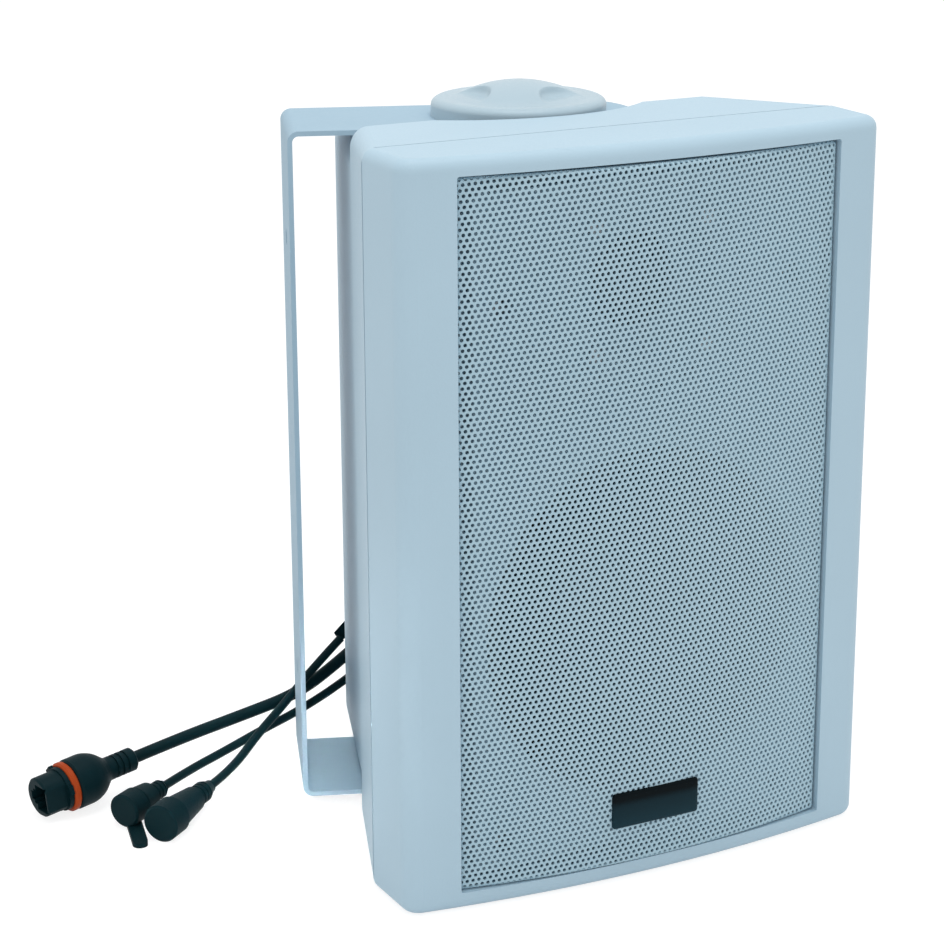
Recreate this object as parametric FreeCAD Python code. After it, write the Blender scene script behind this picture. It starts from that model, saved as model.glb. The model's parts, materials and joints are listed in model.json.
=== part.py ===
import FreeCAD, Part
import math
import os

from FreeCAD import Vector

# Wall-mounting cabinet speaker with a swivelling U bracket. Millimetres, +Z up, front towards -Y.
# The origin lies on the floor in the middle of the face that the cabinet stands on.

# Cabinet
CABINET_HEIGHT = 300.0
CABINET_WIDTH = 213.0
FRONT_APEX_Y = -50.0
SEAM_SETBACK = 40.5
COLLAR_LENGTH = 60.0
REAR_LENGTH = 92.0
WALL = 3.2
SEAM_GAP = 0.6
SEAM_CORNER_R = 6.0
COLLAR_CORNER_R = 8.0
COLLAR_SIDE_TAPER = 22.5
COLLAR_HEIGHT_TAPER = 2.5
COLLAR_EDGE_R = 2.0
BASE_TRIM = 0.2
STEP_DROP = 9.9
REAR_SHOULDER_INSET = 0.8
REAR_SLOPE = 0.357
REAR_CORNER_R = 22.0
REAR_EDGE_R = 9.0
TONGUE_DEPTH = 4.0
TONGUE_WALL = 2.0
TONGUE_CLEARANCE = 0.3
SEAL_WIDTH = 1.9

# Front frame
BEZEL_SETBACK = 1.2
BEZEL_SAG = 9.3
BEZEL_SIDE_DRAFT = 0.6
BEZEL_CORNER_R = 8.0
BEZEL_EDGE_R = 5.0
BAFFLE_SETBACK = 18.0
BAFFLE_THICKNESS = 6.0
PANEL_RISE = 8.4
PANEL_WALL = 3.2
PANEL_SIDE_MARGIN = 6.6
PANEL_END_MARGIN = 6.0
PANEL_CORNER_R = 4.0
REBATE_CLEARANCE = 0.4
WELL_CLEARANCE = 0.6

# Grille
GRILLE_WIDTH = 166.8
GRILLE_MARGIN = 8.0
GRILLE_SAG = 9.1
GRILLE_SHEET = 0.8
GRILLE_GAP = 0.7
GRILLE_HEAD_GAP = 1.0
GRILLE_FOOT_GAP = 0.3
GRILLE_FOLD_R = 1.6
RECESS_CORNER_R = 1.0
HOLE_ACROSS = 8.0
HOLE_PITCH = 17.0
HOLE_COLUMN_PITCH = 24.65
HOLE_ROWS = 17
HOLE_COLUMNS = 7

# Badge plate
BADGE_WIDTH = 40.0
BADGE_HEIGHT = 15.0
BADGE_THICKNESS = 1.8
BADGE_BEVEL = 0.8
BADGE_RISE = 23.7
BADGE_SEAT_GAP = 0.05

# Swivel
PIVOT_BEHIND_COLLAR = 16.5
POCKET_FRONT_RADIUS = 38.2
POCKET_HALF_WIDTH = 50.0
POCKET_END_R = 5.0
SLOT_RADIUS = 52.5
SLOT_HEIGHT = 7.6
BOSS_R = 16.0
BOSS_HEIGHT = 2.9
WASHER_R = 15.0
WASHER_THICKNESS = 1.0
INSERT_R = 6.0
INSERT_LENGTH = 14.0
INSERT_BOSS_WALL = 4.0
STUD_R = 4.0
STUD_CLEARANCE = 0.05
PIN_CLEARANCE = 0.3
PRESS_CLEARANCE = 0.02
STUD_ENGAGEMENT = 12.0

# Bracket
BRACKET_SHEET = 2.0
BRACKET_REACH = 96.7
BRACKET_WIDTH = 58.4
BRACKET_END_R = 50.0
BRACKET_END_CORNER_R = 8.0
BRACKET_BEND_R = 2.5
BRACKET_SWING = 69.5
WALL_HOLE_R = 3.5
WALL_HOLE_SPACING = 190.0

# Knob
KNOB_R = 36.1
KNOB_RIM_HEIGHT = 7.6
KNOB_HEIGHT = 14.2
KNOB_RIM_R = 2.5
KNOB_DOME_R = 26.2
KNOB_SCOOPS = 3
KNOB_SCOOP_PLACE_R = 30.0
KNOB_SCOOP_R = 16.0
KNOB_SCOOP_FLOOR = 8.4
KNOB_SCOOP_FLOOR_R = 3.4
KNOB_SCOOP_TURN = -64.0

# Lower pivot screw
SCREW_HEAD_R = 11.0
SCREW_HEAD_HEIGHT = 3.0
SCREW_DRIVE_R = 2.6
SCREW_DRIVE_DEPTH = 1.8

# Woofer
WOOFER_RISE = 99.0
WOOFER_FLANGE_R = 71.0
WOOFER_FLANGE = 4.0
WOOFER_OPENING_R = 63.0
BASKET_R = 62.0
BASKET_BASE_R = 42.0
BASKET_DEPTH = 40.0
BASKET_SHEET = 2.0
BASKET_WINDOWS = 6
MAGNET_R = 45.0
MAGNET_LENGTH = 16.0
MAGNET_HOLE_MARGIN = 4.0
PLATE_R = 40.0
PLATE_THICKNESS = 4.0
POLE_R = 14.4
GAP_R = 17.6
COIL_R = 16.0
COIL_WALL = 0.8
COIL_LENGTH = 21.0
CONE_R = 53.0
CONE_WALL = 1.2
CONE_EDGE_LAND = 3.0
CONE_NECK_OFFSET = 5.0
DUST_CAP_R = 21.0
DUST_CAP_RISE = 7.0
SURROUND_WALL = 0.8
SURROUND_ROLL = 4.2
SPIDER_WALL = 0.8
SPIDER_OUTER_R = 37.0
SPIDER_STANDOFF = 3.5
SPIDER_WAVE = 1.4
SPIDER_WAVES = 3
SOFT_CLEARANCE = 0.3
CONE_TRAVEL = 4.0

# Tweeter
TWEETER_DROP = 49.0
TWEETER_FLANGE_R = 40.0
TWEETER_FLANGE = 8.0
TWEETER_MOUTH_R = 30.0
TWEETER_THROAT_R = 18.4
TWEETER_THROAT_DEPTH = 5.0
TWEETER_CUP_R = 31.0
TWEETER_OPENING_CLEARANCE = 0.5
TWEETER_CUP_LENGTH = 10.0
DOME_SEAT_DEPTH = 8.0
TWEETER_MAGNET_R = 29.0
TWEETER_MAGNET_LENGTH = 16.0
DOME_R = 17.6
DOME_RISE = 5.0
DOME_WALL = 0.6

# Fasteners under the grille
FASTENER_R = 2.0
FASTENER_HEAD_R = 3.8
FASTENER_HEAD_HEIGHT = 2.4
FASTENER_LENGTH = 18.0
DRIVER_FASTENER_LENGTH = 9.0
WOOFER_FASTENER_CIRCLE_R = 66.8
TWEETER_FASTENER_CIRCLE_R = 35.0
POST_R = 5.0
POST_X = 64.0
POST_LOWER_RISE = 16.0
POST_UPPER_DROP = 51.0
POST_HOLE_END = 8.0
POST_LENGTH = 46.0
RIB_THICKNESS = 2.4

# Amplifier board
BOARD_WIDTH = 70.0
BOARD_HEIGHT = 140.0
BOARD_THICKNESS = 1.6
BOARD_STANDOFF = 8.0
BOARD_POST_R = 3.5
BOARD_HOLE_INSET = 5.0
HEAT_SINK_WIDTH = 50.0
HEAT_SINK_HEIGHT = 40.0
HEAT_SINK_DEPTH = 18.0
HEAT_SINK_BASE = 3.0
HEAT_SINK_FINS = 6
HEAT_SINK_FIN = 1.6

# Cord boot on the back
BOOT_X = -18.0
BOOT_Z = 46.0
BOOT_WIDTH = 26.0
BOOT_HEIGHT = 48.0
BOOT_DEPTH = 12.0
BOOT_EDGE_R = 4.0
NOZZLE_WALL = 1.8
SLEEVE_R = 4.0

# Cords, as routes from the boot to the connectors
ETHERNET_D = 5.4
JACK_CORD_D = 3.8
ETHERNET_ROUTE = (
    (-36.0, 148.0, 43.4),
    (-53.0, 140.5, 37.0),
    (-76.0, 135.8, 27.2),
    (-104.0, 134.6, 22.4),
    (-133.6, 133.8, 17.5),
    (-157.9, 128.3, 14.9),
)
LEFT_JACK_ROUTE = (
    (-36.0, 147.0, 31.0),
    (-53.0, 139.8, 26.2),
    (-76.0, 134.6, 19.4),
    (-97.0, 128.6, 16.2),
    (-117.0, 122.6, 12.4),
    (-136.2, 116.8, 9.4),
    (-152.4, 106.4, 8.9),
)
RIGHT_JACK_ROUTE = (
    (-52.4, 139.8, 48.4),
    (-68.0, 136.8, 37.4),
    (-86.0, 129.0, 26.0),
    (-103.4, 117.4, 19.6),
    (-119.6, 108.4, 9.6),
    (-134.6, 96.8, 9.2),
)
SLEEVE_ROOT = (-31.0, 146.0, 60.0)

# Waterproof network socket on the cord
SOCKET_NOSE_R = 8.8
SOCKET_NOSE_LENGTH = 10.0
SOCKET_NOSE_FLAT = 7.2
SOCKET_EDGE = 0.8
SOCKET_FLANGE_R = 9.6
SOCKET_FLANGE_THICKNESS = 2.0
SOCKET_LUG_R = 10.6
SOCKET_LUG_WIDTH = 4.0
SOCKET_LUGS = 3
SOCKET_LUG_TURN = 45.0
SOCKET_RING_SEAT_R = 8.6
SOCKET_RING_GROOVE = 3.6
SOCKET_RING_R = 11.0
SOCKET_RING_FIT = 0.05
SOCKET_RING_SIDE_GAP = 0.2
SOCKET_BODY_R = 11.2
SOCKET_BODY_LENGTH = 9.0
SOCKET_SHOULDER_LENGTH = 4.6
SOCKET_SHOULDER_DROP = 1.8
SOCKET_TAPER_LENGTH = 4.8
SOCKET_BULB_R = 11.0
SOCKET_NECK_R = 3.0
SOCKET_RELIEF_R = 5.2
SOCKET_RELIEF_LENGTH = 14.0
SOCKET_RIBS = 3
SOCKET_RIB_PITCH = 2.8
SOCKET_RIB_SLOT = 1.2
SOCKET_RIB_DEPTH = 0.8
SOCKET_PORT_WIDTH = 11.8
SOCKET_PORT_HEIGHT = 8.0
SOCKET_PORT_OFFSET = 2.4
SOCKET_PORT_DEPTH = 15.0
SOCKET_LATCH_WIDTH = 7.0
SOCKET_LATCH_HEIGHT = 2.0
SOCKET_NOTCH_WIDTH = 4.2
SOCKET_NOTCH_HEIGHT = 1.8

# Capped jacks on the cords
CAP_WALL = 1.2
CAP_FIT = 0.3
CAP_EDGE = 0.9
CAP_GROOVE = 0.9
JACK_NECK_WALL = 0.9
JACK_END = 3.0
JACK_RIBS = 3
JACK_RIB_PITCH = 2.4
JACK_RIB_SLOT = 0.9
JACK_RIB_DEPTH = 0.6
LEFT_CAP_R = 7.4
LEFT_CAP_LENGTH = 9.0
LEFT_BARREL_R = 6.9
LEFT_BARREL_END_R = 6.0
LEFT_BARREL_LENGTH = 8.0
LEFT_NECK_R = 4.0
LEFT_JACK_LENGTH = 28.0
RIGHT_CAP_R = 8.2
RIGHT_CAP_LENGTH = 10.5
RIGHT_BARREL_R = 7.4
RIGHT_BARREL_END_R = 5.5
RIGHT_BARREL_LENGTH = 16.0
RIGHT_NECK_R = 4.6
RIGHT_JACK_LENGTH = 41.0
STRAP_WIDTH = 6.4
STRAP_THICKNESS = 2.2
STRAP_LENGTH = 19.6
STRAP_START = (-171.0, 92.5)
STRAP_TURN = 257.2
STRAP_LIFT = 0.1

# Places that follow from the sizes above
SEAM_Y = FRONT_APEX_Y + SEAM_SETBACK
COLLAR_Y = SEAM_Y + COLLAR_LENGTH
BACK_Y = COLLAR_Y + REAR_LENGTH
BEZEL_Y = FRONT_APEX_Y + BEZEL_SETBACK
BAFFLE_Y = FRONT_APEX_Y + BAFFLE_SETBACK
BAFFLE_BACK_Y = BAFFLE_Y + BAFFLE_THICKNESS
PANEL_Y = BAFFLE_Y - PANEL_RISE
HALF_WIDTH = CABINET_WIDTH / 2
COLLAR_HALF_WIDTH = HALF_WIDTH - COLLAR_SIDE_TAPER
COLLAR_TOP = CABINET_HEIGHT - COLLAR_HEIGHT_TAPER
STEP_TOP = COLLAR_TOP - STEP_DROP
STEP_BOTTOM = CABINET_HEIGHT - STEP_TOP
PIVOT_Y = COLLAR_Y + PIVOT_BEHIND_COLLAR
BOSS_TOP = STEP_TOP + BOSS_HEIGHT
BOSS_BOTTOM = STEP_BOTTOM - BOSS_HEIGHT
ARM_TOP = BOSS_TOP + WASHER_THICKNESS + BRACKET_SHEET
ARM_BOTTOM = CABINET_HEIGHT - ARM_TOP
GRILLE_BOTTOM = GRILLE_MARGIN
GRILLE_TOP = CABINET_HEIGHT - GRILLE_MARGIN
GRILLE_HEIGHT = GRILLE_TOP - GRILLE_BOTTOM
WOOFER_Z = GRILLE_BOTTOM + WOOFER_RISE
TWEETER_Z = GRILLE_TOP - TWEETER_DROP
BADGE_Z = GRILLE_BOTTOM + BADGE_RISE
BOARD_Z = CABINET_HEIGHT / 2
POST_ZS = (GRILLE_BOTTOM + POST_LOWER_RISE, GRILLE_TOP - POST_UPPER_DROP)
GRILLE_HALF = GRILLE_WIDTH / 2
GRILLE_R = (GRILLE_HALF ** 2 + GRILLE_SAG ** 2) / (2 * GRILLE_SAG)
X_AXIS = Vector(1, 0, 0)
Y_AXIS = Vector(0, 1, 0)
Z_AXIS = Vector(0, 0, 1)
ORIGIN = Vector(0, 0, 0)


def box(x0, x1, y0, y1, z0, z1):
    """A block between two corners."""
    return Part.makeBox(x1 - x0, y1 - y0, z1 - z0, Vector(x0, y0, z0))


def y_cylinder(radius, y0, y1, x, z):
    """A cylinder along Y."""
    return Part.makeCylinder(radius, y1 - y0, Vector(x, y0, z), Y_AXIS)


def z_cylinder(radius, z0, z1, x, y):
    """A cylinder along Z."""
    return Part.makeCylinder(radius, z1 - z0, Vector(x, y, z0), Z_AXIS)


def line(a, b):
    """A straight edge."""
    return Part.LineSegment(a, b).toShape()


def arc(a, b, c):
    """An arc through three points."""
    return Part.Arc(a, b, c).toShape()


def rounded_rectangle(y, half_width, z0, z1, radius):
    """A rounded rectangle standing in the plane at y."""
    k = radius * (1 - math.sqrt(0.5))
    left, right = -half_width, half_width
    return Part.Wire([
        line(Vector(left + radius, y, z0), Vector(right - radius, y, z0)),
        arc(Vector(right - radius, y, z0), Vector(right - k, y, z0 + k), Vector(right, y, z0 + radius)),
        line(Vector(right, y, z0 + radius), Vector(right, y, z1 - radius)),
        arc(Vector(right, y, z1 - radius), Vector(right - k, y, z1 - k), Vector(right - radius, y, z1)),
        line(Vector(right - radius, y, z1), Vector(left + radius, y, z1)),
        arc(Vector(left + radius, y, z1), Vector(left + k, y, z1 - k), Vector(left, y, z1 - radius)),
        line(Vector(left, y, z1 - radius), Vector(left, y, z0 + radius)),
        arc(Vector(left, y, z0 + radius), Vector(left + k, y, z0 + k), Vector(left + radius, y, z0)),
    ])


def rounded_bar(y0, y1, half_width, z0, z1, radius):
    """A rounded rectangle drawn out along Y."""
    return Part.Face(rounded_rectangle(y0, half_width, z0, z1, radius)).extrude(Vector(0, y1 - y0, 0))


def prism(points, z0, z1):
    """A plan outline of (x, y) points drawn out along Z."""
    corners = [Vector(x, y, z0) for x, y in points]
    return Part.Face(Part.makePolygon(corners + corners[:1])).extrude(Vector(0, 0, z1 - z0))


def turned_y(profile, x, z):
    """A solid of revolution about a line along Y, from (radius, y) points."""
    corners = [Vector(x + r, y, z) for r, y in profile]
    face = Part.Face(Part.makePolygon(corners + corners[:1]))
    return face.revolve(Vector(x, 0, z), Y_AXIS, 360)


def turned_z(profile, x, y):
    """A solid of revolution about a line along Z, from (radius, z) points."""
    corners = [Vector(x + r, y, z) for r, z in profile]
    face = Part.Face(Part.makePolygon(corners + corners[:1]))
    return face.revolve(Vector(x, y, 0), Z_AXIS, 360)


def turned_x(profile):
    """A solid of revolution about the X axis, from (x, radius) points."""
    corners = [Vector(s, r, 0) for s, r in profile]
    face = Part.Face(Part.makePolygon(corners + corners[:1]))
    return face.revolve(ORIGIN, X_AXIS, 360)


def edges_where(shape, test):
    """The edges whose middle point and box pass a test."""
    found = []
    for edge in shape.Edges:
        bounds = edge.BoundBox
        if test(edge.CenterOfMass, bounds):
            found.append(edge)
    return found


def flipped(shape):
    """The same shape turned upside down about the middle of the cabinet's height."""
    return shape.mirror(Vector(0, 0, CABINET_HEIGHT / 2), Z_AXIS)


def front_frame():
    """The bowed front moulding with the grille recess, baffle and driver openings."""
    corner_x = HALF_WIDTH - BEZEL_SIDE_DRAFT
    corner_y = BEZEL_Y + BEZEL_SAG
    outline = Part.Wire([
        line(Vector(-HALF_WIDTH, SEAM_Y, 0), Vector(-corner_x, corner_y, 0)),
        arc(Vector(-corner_x, corner_y, 0), Vector(0, BEZEL_Y, 0), Vector(corner_x, corner_y, 0)),
        line(Vector(corner_x, corner_y, 0), Vector(HALF_WIDTH, SEAM_Y, 0)),
        line(Vector(HALF_WIDTH, SEAM_Y, 0), Vector(-HALF_WIDTH, SEAM_Y, 0)),
    ])
    body = Part.Face(outline).extrude(Vector(0, 0, CABINET_HEIGHT))
    corners = edges_where(body, lambda c, b: b.ZLength > 1 and c.y < SEAM_Y - 1)
    body = body.makeFillet(BEZEL_CORNER_R, corners)
    rims = edges_where(body, lambda c, b: b.ZLength < 0.01 and c.y < SEAM_Y - 0.01)
    body = body.makeFillet(BEZEL_EDGE_R, rims)
    recess = rounded_bar(
        FRONT_APEX_Y - 5, BAFFLE_Y, GRILLE_HALF + GRILLE_GAP,
        GRILLE_BOTTOM - GRILLE_FOOT_GAP, GRILLE_TOP + GRILLE_HEAD_GAP, RECESS_CORNER_R,
    )
    hollow = rounded_bar(
        BAFFLE_BACK_Y, SEAM_Y + 1, HALF_WIDTH - WALL,
        WALL, CABINET_HEIGHT - WALL, SEAM_CORNER_R - WALL / 2,
    )
    body = body.cut(recess).cut(hollow).fuse(raised_panel(0, BAFFLE_Y + 1))
    body = body.cut(panel_hollow())
    for flange_r, opening_r, z in driver_seats():
        body = body.cut(y_cylinder(flange_r + REBATE_CLEARANCE, PANEL_Y - 1, BAFFLE_Y, 0, z))
        body = body.cut(y_cylinder(opening_r, BAFFLE_Y - 1, BAFFLE_BACK_Y + 1, 0, z))
    for x, z in post_places():
        body = body.cut(y_cylinder(FASTENER_HEAD_R + WELL_CLEARANCE, PANEL_Y - 1, BAFFLE_Y, x, z))
        body = body.cut(y_cylinder(FASTENER_R + PRESS_CLEARANCE, BAFFLE_Y - 1, BAFFLE_BACK_Y + 1, x, z))
    for x, z in driver_screw_places():
        body = body.cut(y_cylinder(FASTENER_R + PRESS_CLEARANCE, BAFFLE_Y - 1, BAFFLE_BACK_Y + 1, x, z))
    return body


def raised_panel(inset, back_y):
    """The panel that stands forward of the channel for the grille's edge, drawn in by inset."""
    return rounded_bar(
        PANEL_Y + inset, back_y, GRILLE_HALF - PANEL_SIDE_MARGIN - inset,
        GRILLE_BOTTOM + PANEL_END_MARGIN + inset, GRILLE_TOP - PANEL_END_MARGIN - inset, PANEL_CORNER_R,
    )


def driver_seats():
    """Flange radius, opening radius and height of each driver."""
    tweeter_opening = TWEETER_CUP_R + TWEETER_OPENING_CLEARANCE
    return (
        (WOOFER_FLANGE_R, WOOFER_OPENING_R, WOOFER_Z),
        (TWEETER_FLANGE_R, tweeter_opening, TWEETER_Z),
    )


def panel_hollow():
    """The room behind the panel, without the cups round the drivers and the screw wells."""
    room = raised_panel(PANEL_WALL, BAFFLE_BACK_Y + 1)
    for flange_r, _, z in driver_seats():
        room = room.cut(y_cylinder(flange_r + PANEL_WALL, PANEL_Y, BAFFLE_BACK_Y + 2, 0, z))
    for x, z in post_places():
        room = room.cut(y_cylinder(FASTENER_HEAD_R + PANEL_WALL, PANEL_Y, BAFFLE_BACK_Y + 2, x, z))
    return room


def post_places():
    """Where the two halves of the cabinet are screwed together."""
    return [(side * POST_X, z) for z in POST_ZS for side in (-1, 1)]


def driver_screw_places():
    """Where the drivers are screwed to the baffle."""
    places = []
    for circle, z in ((WOOFER_FASTENER_CIRCLE_R, WOOFER_Z), (TWEETER_FASTENER_CIRCLE_R, TWEETER_Z)):
        for turn in (45, 135, 225, 315):
            a = math.radians(turn)
            places.append((circle * math.cos(a), z + circle * math.sin(a)))
    return places


def rear_plan(inset):
    """Plan outline of the rear section, drawn in by inset."""
    shoulder = COLLAR_HALF_WIDTH - REAR_SHOULDER_INSET - inset
    back = BACK_Y - inset
    front = COLLAR_Y - COLLAR_LENGTH / 3
    end = shoulder - REAR_SLOPE * (back - COLLAR_Y)
    return [
        (-shoulder, front), (shoulder, front), (shoulder, COLLAR_Y), (end, back), (-end, back),
        (-shoulder, COLLAR_Y),
    ]


def rear_block(inset):
    """The stepped-down rear section, drawn in by inset, with rounded back corners."""
    block = prism(rear_plan(inset), STEP_BOTTOM + inset, STEP_TOP - inset)
    upright = edges_where(block, lambda c, b: b.ZLength > 1 and c.y > BACK_Y - inset - 0.1)
    block = block.makeFillet(REAR_CORNER_R - inset, upright)
    rims = edges_where(block, lambda c, b: b.ZLength < 0.01 and c.y > BACK_Y - REAR_CORNER_R)
    return block.makeFillet(REAR_EDGE_R - inset, rims)


def pocket_radius():
    """Radius of the arc that opens the collar for the knob."""
    rise = POCKET_FRONT_RADIUS - PIVOT_BEHIND_COLLAR
    return (POCKET_HALF_WIDTH ** 2 + rise ** 2) / (2 * rise)


def swivel_space(grow):
    """The space that the knob and the arm need in the top of the collar."""
    floor = STEP_TOP - grow
    radius = pocket_radius()
    middle_y = PIVOT_Y - POCKET_FRONT_RADIUS + radius
    if grow:
        pocket = z_cylinder(radius + grow, floor, CABINET_HEIGHT + 20, 0, middle_y)
    else:
        pocket = pocket_cut(radius, middle_y, floor)
    slot = z_cylinder(SLOT_RADIUS + grow, floor, STEP_TOP + SLOT_HEIGHT, 0, PIVOT_Y)
    return pocket, slot


def pocket_cut(radius, middle_y, floor):
    """The knob's pocket: a wide arc whose ends round off into the collar's back face."""
    end = POCKET_END_R
    end_y = COLLAR_Y - end
    end_x = math.sqrt((radius + end) ** 2 - (middle_y - end_y) ** 2)
    share = radius / (radius + end)
    touch_x = end_x * share
    touch_y = middle_y + (end_y - middle_y) * share
    bisect = math.atan2(touch_y - end_y, touch_x - end_x)
    half_turn = (math.pi / 2 + bisect) / 2
    mid_x = end_x + end * math.cos(half_turn)
    mid_y = end_y + end * math.sin(half_turn)
    beyond = COLLAR_Y + 10
    outline = Part.Wire([
        line(Vector(-end_x, beyond, floor), Vector(-end_x, COLLAR_Y, floor)),
        arc(Vector(-end_x, COLLAR_Y, floor), Vector(-mid_x, mid_y, floor), Vector(-touch_x, touch_y, floor)),
        arc(
            Vector(-touch_x, touch_y, floor), Vector(0, middle_y - radius, floor),
            Vector(touch_x, touch_y, floor),
        ),
        arc(Vector(touch_x, touch_y, floor), Vector(mid_x, mid_y, floor), Vector(end_x, COLLAR_Y, floor)),
        line(Vector(end_x, COLLAR_Y, floor), Vector(end_x, beyond, floor)),
        line(Vector(end_x, beyond, floor), Vector(-end_x, beyond, floor)),
    ])
    return Part.Face(outline).extrude(Vector(0, 0, CABINET_HEIGHT + 20 - floor))


def rear_shell():
    """The tapered rear moulding with the swivel pockets, screw posts and inner ribs."""
    start = SEAM_Y + SEAM_GAP
    collar = Part.makeLoft([
        rounded_rectangle(start, HALF_WIDTH, -BASE_TRIM, CABINET_HEIGHT, SEAM_CORNER_R),
        rounded_rectangle(COLLAR_Y, COLLAR_HALF_WIDTH, -BASE_TRIM, COLLAR_TOP, COLLAR_CORNER_R),
    ], True, True)
    rim = edges_where(collar, lambda c, b: c.y > COLLAR_Y - 0.01)
    collar = collar.makeFillet(COLLAR_EDGE_R, rim)
    collar = collar.cut(box(-HALF_WIDTH, HALF_WIDTH, start - 1, BACK_Y, -10 * BASE_TRIM, 0))
    pocket, slot = swivel_space(0)
    rear = rear_block(0)
    outer = collar
    for space in (pocket, slot, flipped(pocket), flipped(slot)):
        outer = outer.cut(space)
    outer = outer.fuse(rear)
    hollow = Part.makeLoft([
        rounded_rectangle(
            start - 1, HALF_WIDTH - WALL, WALL, CABINET_HEIGHT - WALL, SEAM_CORNER_R - WALL / 2,
        ),
        rounded_rectangle(
            COLLAR_Y - WALL, COLLAR_HALF_WIDTH - WALL, WALL,
            COLLAR_TOP - WALL, COLLAR_CORNER_R - WALL / 2,
        ),
    ], True, True)
    pocket, slot = swivel_space(WALL)
    for space in (pocket, slot, flipped(pocket), flipped(slot)):
        hollow = hollow.cut(space)
    hollow = hollow.fuse(rear_block(WALL))
    shell = outer.cut(hollow)
    shell = shell.fuse(tongue())
    for x, z in post_places():
        shell = shell.fuse(screw_post(x, z).common(outer.fuse(post_room())))
    for x, z in post_places():
        shell = shell.cut(y_cylinder(
            FASTENER_R + PRESS_CLEARANCE, BAFFLE_BACK_Y - 1,
            BAFFLE_BACK_Y + POST_LENGTH - POST_HOLE_END, x, z,
        ))
    shell = shell.fuse(swivel_boss()).fuse(flipped(swivel_boss()))
    bore = insert_bore()
    shell = shell.cut(bore).cut(flipped(bore))
    for x, z in board_places():
        shell = shell.fuse(y_cylinder(BOARD_POST_R, BACK_Y - WALL - BOARD_STANDOFF, BACK_Y - WALL / 2, x, z))
    for x, z in board_places():
        shell = shell.cut(y_cylinder(
            FASTENER_R + PRESS_CLEARANCE, BACK_Y - WALL - BOARD_STANDOFF - 1, BACK_Y - WALL, x, z,
        ))
    return shell.removeSplitter()


def tongue():
    """The lip of the rear moulding that enters the front one."""
    inner = HALF_WIDTH - WALL - TONGUE_CLEARANCE - TONGUE_WALL
    outer = HALF_WIDTH - WALL - TONGUE_CLEARANCE
    radius = SEAM_CORNER_R - WALL / 2
    edge = CABINET_HEIGHT - outer_drop(outer)
    lip = rounded_bar(SEAM_Y - TONGUE_DEPTH, SEAM_Y + SEAM_GAP + 3, outer, outer_drop(outer), edge, radius)
    root = rounded_bar(
        SEAM_Y + SEAM_GAP, SEAM_Y + SEAM_GAP + 3, HALF_WIDTH - WALL / 2, WALL / 2,
        CABINET_HEIGHT - WALL / 2, radius,
    )
    core = rounded_bar(
        SEAM_Y - TONGUE_DEPTH - 1, SEAM_Y + SEAM_GAP + 4, inner,
        outer_drop(inner), CABINET_HEIGHT - outer_drop(inner), radius - 1,
    )
    return lip.fuse(root).cut(core)


def outer_drop(half_width):
    """How far a ring of this half width lies inside the cabinet's outline."""
    return HALF_WIDTH - half_width


def screw_post(x, z):
    """A post for the screw that holds the halves together, with a rib to the side wall."""
    y1 = BAFFLE_BACK_Y + POST_LENGTH
    post = y_cylinder(POST_R, BAFFLE_BACK_Y, y1, x, z)
    side = math.copysign(HALF_WIDTH - WALL / 2, x)
    rib = box(
        min(x, side), max(x, side), SEAM_Y + SEAM_GAP, y1, z - RIB_THICKNESS / 2,
        z + RIB_THICKNESS / 2,
    )
    return post.fuse(rib)


def post_room():
    """The room in front of the seam that the posts reach into."""
    return rounded_bar(
        BAFFLE_BACK_Y, SEAM_Y + SEAM_GAP + 1, HALF_WIDTH - WALL - TONGUE_CLEARANCE,
        WALL + TONGUE_CLEARANCE, CABINET_HEIGHT - WALL - TONGUE_CLEARANCE, SEAM_CORNER_R - WALL / 2,
    )


def swivel_boss():
    """The raised seat for the arm, with the thicker wall round the insert."""
    seat = z_cylinder(BOSS_R, STEP_TOP - WALL, BOSS_TOP, 0, PIVOT_Y)
    stem = z_cylinder(
        INSERT_R + INSERT_BOSS_WALL, BOSS_TOP - INSERT_LENGTH - INSERT_BOSS_WALL,
        STEP_TOP - WALL / 2, 0, PIVOT_Y,
    )
    return seat.fuse(stem)


def insert_bore():
    """The bore that takes the threaded insert."""
    return z_cylinder(INSERT_R + PRESS_CLEARANCE, BOSS_TOP - INSERT_LENGTH, BOSS_TOP + 1, 0, PIVOT_Y)


def pivot_insert():
    """The upper threaded insert."""
    body = z_cylinder(INSERT_R, BOSS_TOP - INSERT_LENGTH, BOSS_TOP, 0, PIVOT_Y)
    return body.cut(z_cylinder(
        STUD_R + STUD_CLEARANCE, BOSS_TOP - INSERT_LENGTH - 1, BOSS_TOP + 1, 0, PIVOT_Y,
    ))


def friction_washer():
    """The upper friction washer between seat and arm."""
    body = z_cylinder(WASHER_R, BOSS_TOP, BOSS_TOP + WASHER_THICKNESS, 0, PIVOT_Y)
    return body.cut(z_cylinder(
        STUD_R + PIN_CLEARANCE, BOSS_TOP - 1, BOSS_TOP + WASHER_THICKNESS + 1, 0, PIVOT_Y,
    ))


def shell_seal():
    """The flat seal between the rims of the two halves."""
    outer = HALF_WIDTH - WALL + SEAL_WIDTH
    inner = HALF_WIDTH - WALL
    radius = SEAM_CORNER_R - WALL / 2
    ring = rounded_bar(
        SEAM_Y, SEAM_Y + SEAM_GAP, outer, outer_drop(outer), CABINET_HEIGHT - outer_drop(outer),
        radius,
    )
    core = rounded_bar(
        SEAM_Y - 1, SEAM_Y + SEAM_GAP + 1, inner,
        outer_drop(inner), CABINET_HEIGHT - outer_drop(inner), radius,
    )
    return ring.cut(core)


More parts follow.
